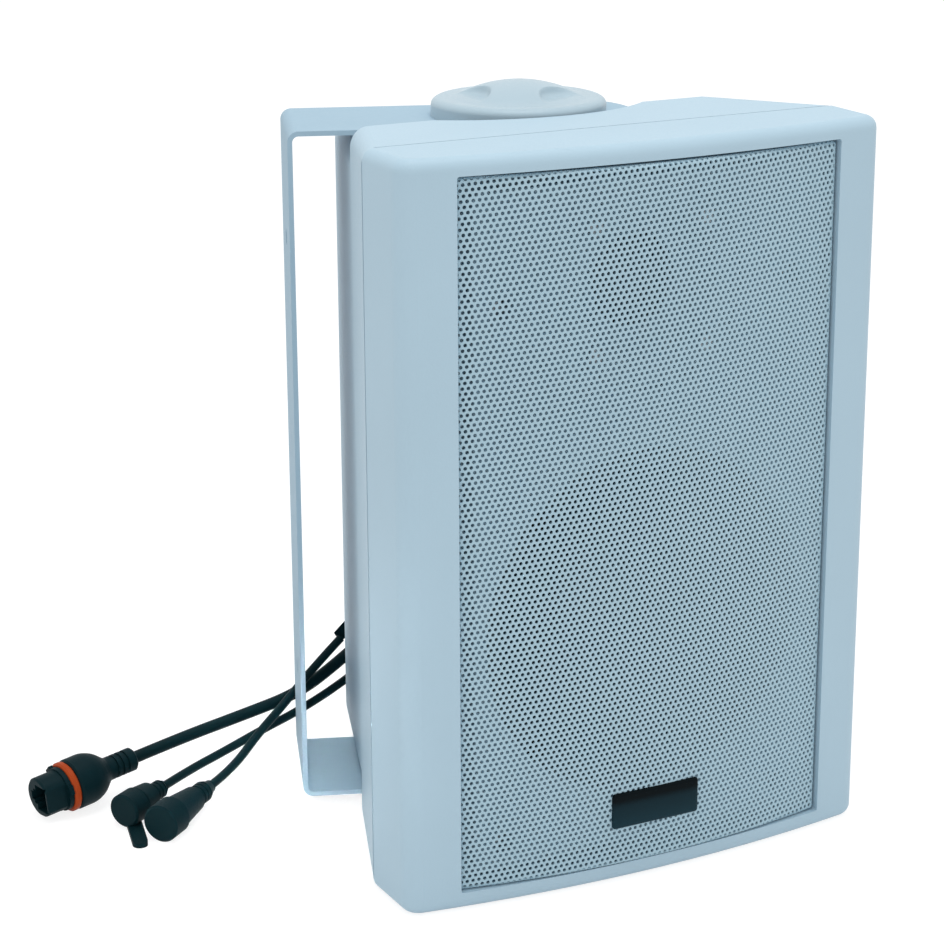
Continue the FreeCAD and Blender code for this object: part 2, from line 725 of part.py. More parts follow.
def grille_plan(inset):
    """Plan outline of the grille's bowed face and its side folds, drawn in by inset."""
    half = GRILLE_HALF - inset
    radius = GRILLE_R - inset
    centre_y = FRONT_APEX_Y + GRILLE_R
    side_y = centre_y - math.sqrt(radius ** 2 - half ** 2)
    return Part.Wire([
        line(Vector(-half, BAFFLE_Y, 0), Vector(-half, side_y, 0)),
        arc(Vector(-half, side_y, 0), Vector(0, centre_y - radius, 0), Vector(half, side_y, 0)),
        line(Vector(half, side_y, 0), Vector(half, BAFFLE_Y, 0)),
        line(Vector(half, BAFFLE_Y, 0), Vector(-half, BAFFLE_Y, 0)),
    ])


def grille_block(inset):
    """The grille's outer form, drawn in by inset, with its folded edges rounded."""
    face = Part.Face(grille_plan(inset))
    block = face.extrude(Vector(0, 0, GRILLE_HEIGHT - 2 * inset))
    block.translate(Vector(0, 0, GRILLE_BOTTOM + inset))
    folds = edges_where(block, lambda c, b: b.YMax < BAFFLE_Y - 1)
    return block.makeFillet(GRILLE_FOLD_R - inset, folds)


def grille():
    """The bowed and folded sheet with a staggered pattern of holes."""
    inner = grille_block(GRILLE_SHEET)
    tail = rounded_bar(
        BAFFLE_Y - 1, BAFFLE_Y + 1, GRILLE_HALF - GRILLE_SHEET,
        GRILLE_BOTTOM + GRILLE_SHEET, GRILLE_TOP - GRILLE_SHEET, GRILLE_FOLD_R - GRILLE_SHEET,
    )
    sheet = grille_block(0).cut(inner.fuse(tail))
    pins = []
    row_step = HOLE_PITCH * math.sqrt(0.75)
    z0 = CABINET_HEIGHT / 2 - row_step * (HOLE_ROWS - 1) / 2
    for row in range(HOLE_ROWS):
        shift = HOLE_COLUMN_PITCH / 2 if row % 2 else 0.0
        columns = HOLE_COLUMNS - 1 if row % 2 else HOLE_COLUMNS
        for column in range(columns):
            x = (column - (HOLE_COLUMNS - 1) / 2) * HOLE_COLUMN_PITCH + shift
            pins.append(hole_pin(x, z0 + row * row_step))
    return sheet.cut(Part.makeCompound(pins))


def hole_pin(x, z):
    """A six-sided punch through the grille's face."""
    corners = []
    for k in range(6):
        a = math.radians(60 * k + 30)
        corners.append(Vector(
            x + HOLE_ACROSS / 2 * math.cos(a), FRONT_APEX_Y - 1,
            z + HOLE_ACROSS / 2 * math.sin(a),
        ))
    depth = GRILLE_SAG + GRILLE_SHEET + 2
    return Part.Face(Part.makePolygon(corners + corners[:1])).extrude(Vector(0, depth, 0))


def badge_plate():
    """The small bare domed plate on the grille."""
    centre_y = FRONT_APEX_Y + GRILLE_R
    half = BADGE_WIDTH / 2
    front_r = GRILLE_R + BADGE_THICKNESS
    back_r = GRILLE_R + BADGE_SEAT_GAP
    back_y = centre_y - math.sqrt(back_r ** 2 - half ** 2)
    front_y = centre_y - math.sqrt(front_r ** 2 - half ** 2)
    outline = Part.Wire([
        line(Vector(-half, back_y, 0), Vector(-half, front_y, 0)),
        arc(Vector(-half, front_y, 0), Vector(0, centre_y - front_r, 0), Vector(half, front_y, 0)),
        line(Vector(half, front_y, 0), Vector(half, back_y, 0)),
        arc(Vector(half, back_y, 0), Vector(0, centre_y - back_r, 0), Vector(-half, back_y, 0)),
    ])
    plate = Part.Face(outline).extrude(Vector(0, 0, BADGE_HEIGHT))
    plate.translate(Vector(0, 0, BADGE_Z - BADGE_HEIGHT / 2))
    near = back_y - BADGE_THICKNESS / 2
    rim = edges_where(plate, lambda c, b: b.YMax < near and b.YLength < BADGE_THICKNESS)
    return plate.makeFillet(BADGE_BEVEL, rim)


def swung(shape):
    """A bracket piece turned from straight back to where it rests."""
    turned = shape.copy()
    turned.rotate(Vector(0, PIVOT_Y, 0), Z_AXIS, BRACKET_SWING)
    return turned


def wall_bracket():
    """The folded U of sheet steel with round-ended arms."""
    half = BRACKET_WIDTH / 2
    reach = PIVOT_Y + BRACKET_REACH
    front = PIVOT_Y - BRACKET_END_R - 1
    outer = box(-half, half, front, reach, ARM_BOTTOM, ARM_TOP)
    inner = box(
        -half - 1, half + 1, front - 1, reach - BRACKET_SHEET,
        ARM_BOTTOM + BRACKET_SHEET, ARM_TOP - BRACKET_SHEET,
    )
    bends = edges_where(outer, lambda c, b: b.XLength > 1 and c.y > reach - 0.1)
    outer = outer.makeFillet(BRACKET_BEND_R + BRACKET_SHEET, bends)
    bends = edges_where(inner, lambda c, b: b.XLength > 1 and c.y > reach - BRACKET_SHEET - 0.1)
    inner = inner.makeFillet(BRACKET_BEND_R, bends)
    strap = outer.cut(inner)
    disc = z_cylinder(BRACKET_END_R, ARM_BOTTOM - 1, ARM_TOP + 1, 0, PIVOT_Y)
    plan = disc.common(box(-half, half, front, reach + 1, ARM_BOTTOM - 1, ARM_TOP + 1))
    corners = edges_where(plan, lambda c, b: b.ZLength > 1 and c.y < PIVOT_Y)
    plan = plan.makeFillet(BRACKET_END_CORNER_R, corners)
    plan = plan.fuse(box(-half, half, PIVOT_Y, reach + 1, ARM_BOTTOM - 1, ARM_TOP + 1))
    strap = strap.common(plan)
    strap = strap.cut(z_cylinder(STUD_R + PIN_CLEARANCE, ARM_BOTTOM - 1, ARM_TOP + 1, 0, PIVOT_Y))
    for side in (-1, 1):
        z = CABINET_HEIGHT / 2 + side * WALL_HOLE_SPACING / 2
        strap = strap.cut(y_cylinder(WALL_HOLE_R, reach - BRACKET_SHEET - 1, reach + 1, 0, z))
    return swung(strap.removeSplitter())


def top_knob():
    """The moulded clamping knob: a rim, a dome and the finger scoops cut into the dome."""
    rim_top = ARM_TOP + KNOB_RIM_HEIGHT
    top = ARM_TOP + KNOB_HEIGHT
    body = z_cylinder(KNOB_R, ARM_TOP, rim_top, 0, PIVOT_Y)
    edge = edges_where(body, lambda c, b: b.ZLength < 0.01 and c.z > rim_top - 0.01)
    body = body.makeFillet(KNOB_RIM_R, edge)
    rise = top - rim_top
    ball = (KNOB_DOME_R ** 2 + rise ** 2) / (2 * rise)
    dome = Part.makeSphere(ball, Vector(0, PIVOT_Y, top - ball))
    dome = dome.common(z_cylinder(KNOB_DOME_R, rim_top - 1, top + 1, 0, PIVOT_Y))
    body = body.fuse(dome)
    floor = ARM_TOP + KNOB_SCOOP_FLOOR
    scoop = z_cylinder(KNOB_SCOOP_R, floor, top + KNOB_SCOOP_FLOOR_R, KNOB_SCOOP_PLACE_R, PIVOT_Y)
    foot = edges_where(scoop, lambda c, b: b.ZLength < 0.01 and c.z < floor + 0.01)
    scoop = scoop.makeFillet(KNOB_SCOOP_FLOOR_R, foot)
    scoop.rotate(Vector(0, PIVOT_Y, 0), Z_AXIS, KNOB_SCOOP_TURN)
    for _ in range(KNOB_SCOOPS):
        body = body.cut(scoop)
        scoop.rotate(Vector(0, PIVOT_Y, 0), Z_AXIS, 360 / KNOB_SCOOPS)
    body = body.cut(z_cylinder(STUD_R + PRESS_CLEARANCE, ARM_TOP - 1, ARM_TOP + KNOB_HEIGHT / 2, 0, PIVOT_Y))
    return body.removeSplitter()


def knob_stud():
    """The threaded stud moulded into the knob."""
    return z_cylinder(STUD_R, BOSS_TOP - STUD_ENGAGEMENT, ARM_TOP + KNOB_HEIGHT / 2, 0, PIVOT_Y)


def lower_pivot_screw():
    """The low-headed screw that the lower arm turns on."""
    head = z_cylinder(SCREW_HEAD_R, ARM_BOTTOM - SCREW_HEAD_HEIGHT, ARM_BOTTOM, 0, PIVOT_Y)
    rim = edges_where(head, lambda c, b: b.ZLength < 0.01 and c.z < ARM_BOTTOM - 1)
    head = head.makeFillet(SCREW_HEAD_HEIGHT / 2, rim)
    shank = z_cylinder(STUD_R, ARM_BOTTOM - 1, BOSS_BOTTOM + STUD_ENGAGEMENT, 0, PIVOT_Y)
    turns = [math.radians(60 * k) for k in range(6)]
    drive = prism(
        [(SCREW_DRIVE_R * math.cos(a), PIVOT_Y + SCREW_DRIVE_R * math.sin(a)) for a in turns],
        ARM_BOTTOM - SCREW_HEAD_HEIGHT - 1, ARM_BOTTOM - SCREW_HEAD_HEIGHT + SCREW_DRIVE_DEPTH,
    )
    return head.fuse(shank).cut(drive)


def woofer_basket():
    """The pressed frame of the woofer with its windows."""
    y0 = BAFFLE_Y - WOOFER_FLANGE
    base = BAFFLE_Y + BASKET_DEPTH
    wall = BASKET_SHEET
    body = turned_y([
        (WOOFER_FLANGE_R, y0), (WOOFER_FLANGE_R, BAFFLE_Y), (BASKET_R, BAFFLE_Y),
        (BASKET_BASE_R, base), (GAP_R, base), (GAP_R, base - wall),
        (BASKET_BASE_R - wall, base - wall), (BASKET_R - wall, BAFFLE_Y - wall), (BASKET_R - wall, y0),
    ], 0, WOOFER_Z)
    for k in range(BASKET_WINDOWS):
        a = math.radians(360 / BASKET_WINDOWS * k)
        middle = (BASKET_R + BASKET_BASE_R) / 2
        window = y_cylinder(
            BASKET_DEPTH / 4, BAFFLE_BACK_Y, base - 2 * wall - 2, middle * math.cos(a),
            WOOFER_Z + middle * math.sin(a),
        )
        body = body.cut(window)
    for x, z in driver_screw_places()[:4]:
        body = body.cut(y_cylinder(FASTENER_R + PRESS_CLEARANCE, y0 - 1, BAFFLE_Y + 1, x, z))
    return body


def woofer_top_plate():
    """The front pole plate."""
    y0 = BAFFLE_Y + BASKET_DEPTH
    return turned_y(
        [(PLATE_R, y0), (PLATE_R, y0 + PLATE_THICKNESS), (GAP_R, y0 + PLATE_THICKNESS), (GAP_R, y0)],
        0, WOOFER_Z,
    )


def woofer_magnet():
    """The ring magnet."""
    y0 = BAFFLE_Y + BASKET_DEPTH + PLATE_THICKNESS
    hole = GAP_R + MAGNET_HOLE_MARGIN
    return turned_y(
        [(MAGNET_R, y0), (MAGNET_R, y0 + MAGNET_LENGTH), (hole, y0 + MAGNET_LENGTH), (hole, y0)],
        0, WOOFER_Z,
    )


def woofer_yoke():
    """The back plate with the pole."""
    y0 = BAFFLE_Y + BASKET_DEPTH
    y1 = y0 + PLATE_THICKNESS + MAGNET_LENGTH
    return turned_y([
        (0, y0), (POLE_R, y0), (POLE_R, y1), (PLATE_R, y1),
        (PLATE_R, y1 + PLATE_THICKNESS), (0, y1 + PLATE_THICKNESS),
    ], 0, WOOFER_Z)


def coil_front_y():
    """Where the coil former ends in front."""
    return BAFFLE_Y + BASKET_DEPTH + PLATE_THICKNESS + CONE_TRAVEL - COIL_LENGTH


def cone_land_y():
    """Front face of the flat rim that the surround is glued to."""
    return BAFFLE_Y - WOOFER_FLANGE + SURROUND_WALL


def voice_coil():
    """The coil on its former."""
    y0 = coil_front_y()
    outer = COIL_R + COIL_WALL / 2
    inner = COIL_R - COIL_WALL / 2
    return turned_y(
        [(outer, y0), (outer, y0 + COIL_LENGTH), (inner, y0 + COIL_LENGTH), (inner, y0)], 0,
        WOOFER_Z,
    )


def woofer_cone():
    """The moulded cone, glued to the coil former."""
    y0 = cone_land_y()
    neck = COIL_R + COIL_WALL / 2
    y1 = coil_front_y() + CONE_NECK_OFFSET
    land = CONE_R - CONE_EDGE_LAND
    return turned_y([
        (CONE_R, y0), (CONE_R, y0 + CONE_WALL), (land, y0 + CONE_WALL),
        (neck, y1 + CONE_WALL), (neck, y1), (land, y0),
    ], 0, WOOFER_Z)


def cone_face_y(radius):
    """Front face of the cone at a radius."""
    neck = COIL_R + COIL_WALL / 2
    y1 = coil_front_y() + CONE_NECK_OFFSET
    land = CONE_R - CONE_EDGE_LAND
    return y1 + (cone_land_y() - y1) * (radius - neck) / (land - neck)


def dust_cap():
    """The domed cap over the coil."""
    y0 = cone_face_y(DUST_CAP_R)
    ball = (DUST_CAP_R ** 2 + DUST_CAP_RISE ** 2) / (2 * DUST_CAP_RISE)
    wall = CONE_WALL
    centre = y0 - DUST_CAP_RISE + ball
    inner = ball - wall
    hole = DUST_CAP_R - wall
    outline = Part.Wire([
        arc(
            Vector(0, centre - ball, 0), curve_point(ball, DUST_CAP_R / 2, centre),
            curve_point(ball, DUST_CAP_R, centre),
        ),
        line(curve_point(ball, DUST_CAP_R, centre), curve_point(inner, hole, centre)),
        arc(
            curve_point(inner, hole, centre), curve_point(inner, hole / 2, centre),
            Vector(0, centre - inner, 0),
        ),
        line(Vector(0, centre - inner, 0), Vector(0, centre - ball, 0)),
    ])
    cap = Part.Face(outline).revolve(ORIGIN, Y_AXIS, 360)
    cap.translate(Vector(0, 0, WOOFER_Z))
    return cap


def curve_point(ball, radius, centre):
    """A point of a dome's section."""
    return Vector(radius, centre - math.sqrt(ball ** 2 - radius ** 2), 0)


def woofer_surround():
    """The half-roll edge between cone and basket."""
    y0 = BAFFLE_Y - WOOFER_FLANGE
    inner = CONE_R
    outer = BASKET_R - BASKET_SHEET
    lip = CONE_R - CONE_EDGE_LAND
    rim = WOOFER_FASTENER_CIRCLE_R - FASTENER_HEAD_R - SOFT_CLEARANCE
    wall = SURROUND_WALL
    middle = (inner + outer) / 2
    outline = Part.Wire([
        line(Vector(lip, y0 + wall, 0), Vector(lip, y0, 0)),
        line(Vector(lip, y0, 0), Vector(inner, y0, 0)),
        arc(Vector(inner, y0, 0), Vector(middle, y0 - SURROUND_ROLL, 0), Vector(outer, y0, 0)),
        line(Vector(outer, y0, 0), Vector(outer, y0 - wall, 0)),
        line(Vector(outer, y0 - wall, 0), Vector(rim, y0 - wall, 0)),
        line(Vector(rim, y0 - wall, 0), Vector(rim, y0, 0)),
        line(Vector(rim, y0, 0), Vector(outer - wall, y0, 0)),
        arc(
            Vector(outer - wall, y0, 0), Vector(middle, y0 - SURROUND_ROLL + wall, 0),
            Vector(inner + wall, y0, 0),
        ),
        line(Vector(inner + wall, y0, 0), Vector(inner + wall, y0 + wall, 0)),
        line(Vector(inner + wall, y0 + wall, 0), Vector(lip, y0 + wall, 0)),
    ])
    ring = Part.Face(outline).revolve(ORIGIN, Y_AXIS, 360)
    ring.translate(Vector(0, 0, WOOFER_Z))
    return ring


def woofer_spider():
    """The corrugated disc that centres the coil."""
    y0 = BAFFLE_Y + BASKET_DEPTH - BASKET_SHEET - SPIDER_STANDOFF
    inner = COIL_R + COIL_WALL / 2 + SOFT_CLEARANCE
    steps = 2 * SPIDER_WAVES
    front = []
    back = []
    for k in range(steps + 1):
        r = inner + (SPIDER_OUTER_R - inner) * k / steps
        y = y0 + (SPIDER_WAVE if k % 2 else 0.0)
        front.append((r, y))
        back.append((r, y + SPIDER_WALL))
    return turned_y(front + back[::-1], 0, WOOFER_Z)


def tweeter_faceplate():
    """The tweeter's plate with a short flared mouth and the cup behind it."""
    y0 = BAFFLE_Y - TWEETER_FLANGE
    y1 = BAFFLE_Y + TWEETER_CUP_LENGTH
    body = turned_y([
        (TWEETER_FLANGE_R, y0), (TWEETER_FLANGE_R, BAFFLE_Y), (TWEETER_CUP_R, BAFFLE_Y), (TWEETER_CUP_R, y1),
        (TWEETER_THROAT_R, y1), (TWEETER_THROAT_R, BAFFLE_Y + TWEETER_THROAT_DEPTH), (TWEETER_MOUTH_R, y0),
    ], 0, TWEETER_Z)
    for x, z in driver_screw_places()[4:]:
        body = body.cut(y_cylinder(FASTENER_R + PRESS_CLEARANCE, y0 - 1, BAFFLE_Y + 1, x, z))
    return body


def tweeter_dome():
    """The tweeter's diaphragm."""
    y1 = BAFFLE_Y + TWEETER_CUP_LENGTH
    y0 = BAFFLE_Y + DOME_SEAT_DEPTH
    ball = (DOME_R ** 2 + DOME_RISE ** 2) / (2 * DOME_RISE)
    inner = ball - DOME_WALL
    hole = DOME_R - DOME_WALL
    centre = y0 - DOME_RISE + ball
    outline = Part.Wire([
        arc(
            Vector(0, centre - ball, 0), curve_point(ball, DOME_R / 2, centre),
            curve_point(ball, DOME_R, centre),
        ),
        line(curve_point(ball, DOME_R, centre), Vector(DOME_R, y1, 0)),
        line(Vector(DOME_R, y1, 0), Vector(hole, y1, 0)),
        line(Vector(hole, y1, 0), curve_point(inner, hole, centre)),
        arc(
            curve_point(inner, hole, centre), curve_point(inner, hole / 2, centre),
            Vector(0, centre - inner, 0),
        ),
        line(Vector(0, centre - inner, 0), Vector(0, centre - ball, 0)),
    ])
    dome = Part.Face(outline).revolve(ORIGIN, Y_AXIS, 360)
    dome.translate(Vector(0, 0, TWEETER_Z))
    return dome


def tweeter_magnet():
    """The tweeter's motor."""
    y0 = BAFFLE_Y + TWEETER_CUP_LENGTH
    return y_cylinder(TWEETER_MAGNET_R, y0, y0 + TWEETER_MAGNET_LENGTH, 0, TWEETER_Z)


def fastener(x, z, seat_y, length):
    """A pan-headed screw driven from the front."""
    head = y_cylinder(FASTENER_HEAD_R, seat_y - FASTENER_HEAD_HEIGHT, seat_y, x, z)
    rim = edges_where(head, lambda c, b: b.YLength < 0.01 and c.y < seat_y - 1)
    head = head.makeFillet(FASTENER_HEAD_HEIGHT / 2, rim)
    return head.fuse(y_cylinder(FASTENER_R, seat_y - 0.5, seat_y + length, x, z))


def shell_screws():
    """The screws that hold the two halves together."""
    return Part.makeCompound([fastener(x, z, BAFFLE_Y, FASTENER_LENGTH) for x, z in post_places()])


def woofer_screws():
    """The screws of the woofer."""
    y0 = BAFFLE_Y - WOOFER_FLANGE
    places = driver_screw_places()[:4]
    return Part.makeCompound([fastener(x, z, y0, DRIVER_FASTENER_LENGTH) for x, z in places])


def tweeter_screws():
    """The screws of the tweeter."""
    y0 = BAFFLE_Y - TWEETER_FLANGE
    places = driver_screw_places()[4:]
    return Part.makeCompound([fastener(x, z, y0, DRIVER_FASTENER_LENGTH) for x, z in places])


def board_places():
    """Where the amplifier board is screwed to the shell."""
    x = BOARD_WIDTH / 2 - BOARD_HOLE_INSET
    z = BOARD_HEIGHT / 2 - BOARD_HOLE_INSET
    return [(sx * x, BOARD_Z + sz * z) for sx in (-1, 1) for sz in (-1, 1)]


def board_back_y():
    """Back face of the amplifier board."""
    return BACK_Y - WALL - BOARD_STANDOFF


def amplifier_board():
    """The amplifier and network board."""
    y1 = board_back_y()
    half = BOARD_WIDTH / 2
    body = box(-half, half, y1 - BOARD_THICKNESS, y1, BOARD_Z - BOARD_HEIGHT / 2, BOARD_Z + BOARD_HEIGHT / 2)
    for x, z in board_places():
        body = body.cut(y_cylinder(FASTENER_R + PRESS_CLEARANCE, y1 - BOARD_THICKNESS - 1, y1 + 1, x, z))
    return body


def board_screws():
    """The screws of the amplifier board."""
    y0 = board_back_y() - BOARD_THICKNESS
    length = BOARD_THICKNESS + BOARD_STANDOFF - 1
    return Part.makeCompound([fastener(x, z, y0, length) for x, z in board_places()])


def heat_sink():
    """The finned heat sink on the board."""
    y1 = board_back_y() - BOARD_THICKNESS
    half = HEAT_SINK_WIDTH / 2
    z0 = BOARD_Z - HEAT_SINK_HEIGHT / 2
    z1 = BOARD_Z + HEAT_SINK_HEIGHT / 2
    body = box(-half, half, y1 - HEAT_SINK_BASE, y1, z0, z1)
    pitch = (HEAT_SINK_WIDTH - HEAT_SINK_FIN) / (HEAT_SINK_FINS - 1)
    for k in range(HEAT_SINK_FINS):
        x = -half + k * pitch
        body = body.fuse(box(x, x + HEAT_SINK_FIN, y1 - HEAT_SINK_DEPTH, y1 - HEAT_SINK_BASE / 2, z0, z1))
    return body.removeSplitter()


def route_start(route):
    """First point of a route and the direction it leaves in."""
    a = Vector(*route[0])
    b = Vector(*route[1])
    return a, (b - a).normalize()


def route_end(route):
    """Last point of a route and the direction that looks back along it."""
    a = Vector(*route[-1])
    b = Vector(*route[-2])
    return a, (b - a).normalize()


def cord_boot():
    """The rubber boot that leads the cords out sideways."""
    half = BOOT_WIDTH / 2
    block = box(
        BOOT_X - half, BOOT_X + half, BACK_Y, BACK_Y + BOOT_DEPTH, BOOT_Z - BOOT_HEIGHT / 2,
        BOOT_Z + BOOT_HEIGHT / 2,
    )
    rim = edges_where(block, lambda c, b: c.y > BACK_Y + 0.1)
    block = block.makeFillet(BOOT_EDGE_R, rim)
    for route, diameter in ((ETHERNET_ROUTE, ETHERNET_D), (LEFT_JACK_ROUTE, JACK_CORD_D)):
        start, way = route_start(route)
        block = block.fuse(Part.makeCylinder(diameter / 2 + NOZZLE_WALL, 12, start - way * 12, way))
    start, way = route_start(RIGHT_JACK_ROUTE)
    length = (Vector(*SLEEVE_ROOT) - start).Length
    block = block.fuse(Part.makeCylinder(SLEEVE_R, length, start - way * length, way))
    cabinet_side = box(-HALF_WIDTH, HALF_WIDTH, COLLAR_Y, BACK_Y, 0, CABINET_HEIGHT)
    return block.cut(cabinet_side)


def cord(name, route, diameter):
    """A round cord along straight runs joined by tangent arcs."""
    points = [Vector(*p) for p in route]
    edges = []
    radii = []
    last = points[0]
    for k in range(1, len(points) - 1):
        before = points[k] - points[k - 1]
        after = points[k + 1] - points[k]
        reach = 0.45 * min(before.Length, after.Length)
        turn = before.getAngle(after)
        radius = reach / math.tan(turn / 2)
        before.normalize()
        after.normalize()
        enter = points[k] - before * reach
        leave = points[k] + after * reach
        inward = (after - before).normalize()
        centre = points[k] + inward * (radius / math.cos(turn / 2))
        middle = centre - inward * radius
        edges.append(line(last, enter))
        edges.append(arc(enter, middle, leave))
        last = leave
        radii.append(radius)
    edges.append(line(last, points[-1]))
    path = Part.Wire(edges)
    start, way = route_start(route)
    section = Part.Wire([Part.makeCircle(diameter / 2, start, way)])
    tube = path.makePipeShell([section], True, True)
    expected = math.pi * diameter ** 2 / 4 * path.Length
    print(
        name, "length", round(path.Length, 1), "smallest radius", round(min(radii), 1),
        "volume ratio", round(tube.Volume / expected, 4),
    )
    return tube


def placed(shape, nose, way):
    """A connector made along +X, put with its face at nose and its axis along way."""
    moved = shape.copy()
    turn = FreeCAD.Rotation(Vector(1, 0, 0), Vector(way.x, way.y, 0))
    tilt = math.degrees(math.asin(way.z))
    side = turn.multVec(Vector(0, 1, 0))
    moved.Placement = FreeCAD.Placement(nose, FreeCAD.Rotation(side, -tilt).multiply(turn))
    return moved


def connector_place(route, length):
    """Where a connector's face lies and its axis points, from the end of its cord."""
    end, way = route_end(route)
    return end - way * length, way


def network_socket():
    """The body of the waterproof network socket."""
    ring_start = SOCKET_NOSE_LENGTH + SOCKET_FLANGE_THICKNESS
    body_start = ring_start + SOCKET_RING_GROOVE
    body_end = body_start + SOCKET_BODY_LENGTH
    taper = body_end + SOCKET_SHOULDER_LENGTH
    relief = taper + SOCKET_TAPER_LENGTH
    profile = [
        (0, 0),
        (0, SOCKET_NOSE_R - SOCKET_EDGE),
        (SOCKET_EDGE, SOCKET_NOSE_R),
        (SOCKET_NOSE_LENGTH, SOCKET_NOSE_R),
        (SOCKET_NOSE_LENGTH, SOCKET_FLANGE_R),
        (ring_start, SOCKET_FLANGE_R),
        (ring_start, SOCKET_RING_SEAT_R),
        (body_start, SOCKET_RING_SEAT_R),
        (body_start, SOCKET_BODY_R - SOCKET_EDGE),
        (body_start + SOCKET_EDGE, SOCKET_BODY_R),
        (body_end, SOCKET_BODY_R),
        (taper, SOCKET_BODY_R - SOCKET_SHOULDER_DROP),
        (relief, SOCKET_RELIEF_R),
    ]
    for k in range(SOCKET_RIBS):
        slot = relief + SOCKET_RIB_PITCH * (k + 1)
        profile.append((slot, SOCKET_RELIEF_R))
        profile.append((slot, SOCKET_RELIEF_R - SOCKET_RIB_DEPTH))
        profile.append((slot + SOCKET_RIB_SLOT, SOCKET_RELIEF_R - SOCKET_RIB_DEPTH))
        profile.append((slot + SOCKET_RIB_SLOT, SOCKET_RELIEF_R))
    profile.append((socket_length() - SOCKET_EDGE, SOCKET_RELIEF_R))
    profile.append((socket_length(), SOCKET_RELIEF_R - SOCKET_EDGE))
    profile.append((socket_length(), 0))
    body = turned_x(profile)
    for place, radius in ((body_end, SOCKET_BULB_R), (taper, SOCKET_BULB_R), (relief, SOCKET_NECK_R)):
        edge = edges_where(body, lambda c, b: b.XLength < 0.01 and abs(b.XMin - place) < 0.01)
        body = body.makeFillet(radius, edge)
    flat = box(-1, SOCKET_NOSE_LENGTH, -2 * SOCKET_NOSE_R, -SOCKET_NOSE_FLAT, -SOCKET_NOSE_R, SOCKET_NOSE_R)
    body = body.cut(flat)
    half_lug = SOCKET_LUG_WIDTH / 2
    for k in range(SOCKET_LUGS):
        lug = box(SOCKET_NOSE_LENGTH, ring_start, 0, SOCKET_LUG_R, -half_lug, half_lug)
        lug.rotate(ORIGIN, X_AXIS, SOCKET_LUG_TURN + 360 / SOCKET_LUGS * k)
        body = body.fuse(lug)
    top = SOCKET_PORT_HEIGHT / 2 - SOCKET_PORT_OFFSET
    steps = (
        (top - SOCKET_PORT_HEIGHT, top, SOCKET_PORT_WIDTH / 2),
        (top - SOCKET_EDGE, top + SOCKET_LATCH_HEIGHT, SOCKET_LATCH_WIDTH / 2),
        (top, top + SOCKET_LATCH_HEIGHT + SOCKET_NOTCH_HEIGHT, SOCKET_NOTCH_WIDTH / 2),
    )
    for y0, y1, half in steps:
        body = body.cut(box(-1, SOCKET_PORT_DEPTH, y0, y1, -half, half))
    return body.removeSplitter()


def socket_length():
    """Length of the network socket from its face to the end of its strain relief."""
    head = SOCKET_NOSE_LENGTH + SOCKET_FLANGE_THICKNESS + SOCKET_RING_GROOVE + SOCKET_BODY_LENGTH
    return head + SOCKET_SHOULDER_LENGTH + SOCKET_TAPER_LENGTH + SOCKET_RELIEF_LENGTH


def socket_ring():
    """The sealing ring behind the socket's flange."""
    start = SOCKET_NOSE_LENGTH + SOCKET_FLANGE_THICKNESS + SOCKET_RING_SIDE_GAP
    end = start + SOCKET_RING_GROOVE - 2 * SOCKET_RING_SIDE_GAP
    seat = SOCKET_RING_SEAT_R + SOCKET_RING_FIT
    return turned_x([
        (start, seat), (start, SOCKET_RING_R - SOCKET_EDGE), (start + SOCKET_EDGE, SOCKET_RING_R),
        (end - SOCKET_EDGE, SOCKET_RING_R), (end, SOCKET_RING_R - SOCKET_EDGE), (end, seat),
    ])


def jack_body(cap_r, cap_length, barrel, neck_r, length):
    """A moulded jack without its cap: core, tapered barrel and ribbed neck."""
    front_r, back_r, barrel_length = barrel
    seat = cap_length + CAP_GROOVE
    back = seat + barrel_length
    core = cap_r - CAP_WALL - CAP_FIT
    profile = [
        (CAP_WALL + CAP_FIT, 0),
        (CAP_WALL + CAP_FIT, core),
        (seat, core),
        (seat, front_r),
        (back, back_r),
        (back + JACK_RIB_SLOT, neck_r),
    ]
    for k in range(JACK_RIBS):
        slot = back + JACK_RIB_SLOT + JACK_RIB_PITCH * (k + 0.5)
        profile.append((slot, neck_r))
        profile.append((slot, neck_r - JACK_RIB_DEPTH))
        profile.append((slot + JACK_RIB_SLOT, neck_r - JACK_RIB_DEPTH))
        profile.append((slot + JACK_RIB_SLOT, neck_r))
    profile.append((length - JACK_RIB_SLOT, JACK_CORD_D / 2 + JACK_NECK_WALL))
    profile.append((length, JACK_CORD_D / 2 + JACK_NECK_WALL))
    profile.append((length, 0))
    return turned_x(profile)


def jack_cap(cap_r, cap_length):
    """The outside of a soft push-on cap."""
    return turned_x([
        (0, 0), (0, cap_r - CAP_EDGE), (CAP_EDGE, cap_r),
        (cap_length, cap_r), (cap_length, 0),
    ])


def cap_hollow(cap_r, cap_length):
    """The inside of a soft push-on cap."""
    core = cap_r - CAP_WALL
    return turned_x([(CAP_WALL, 0), (CAP_WALL, core), (cap_length + 1, core), (cap_length + 1, 0)])


def cap_strap():
    """The strap of the left cap, lying on the floor."""
    half = STRAP_WIDTH / 2
    strap = box(0, STRAP_LENGTH, -half, half, STRAP_LIFT, STRAP_LIFT + STRAP_THICKNESS)
    end = z_cylinder(half, STRAP_LIFT, STRAP_LIFT + STRAP_THICKNESS, STRAP_LENGTH, 0)
    strap = strap.fuse(end).removeSplitter()
    strap.rotate(ORIGIN, Z_AXIS, STRAP_TURN)
    strap.translate(Vector(STRAP_START[0], STRAP_START[1], 0))
    return strap


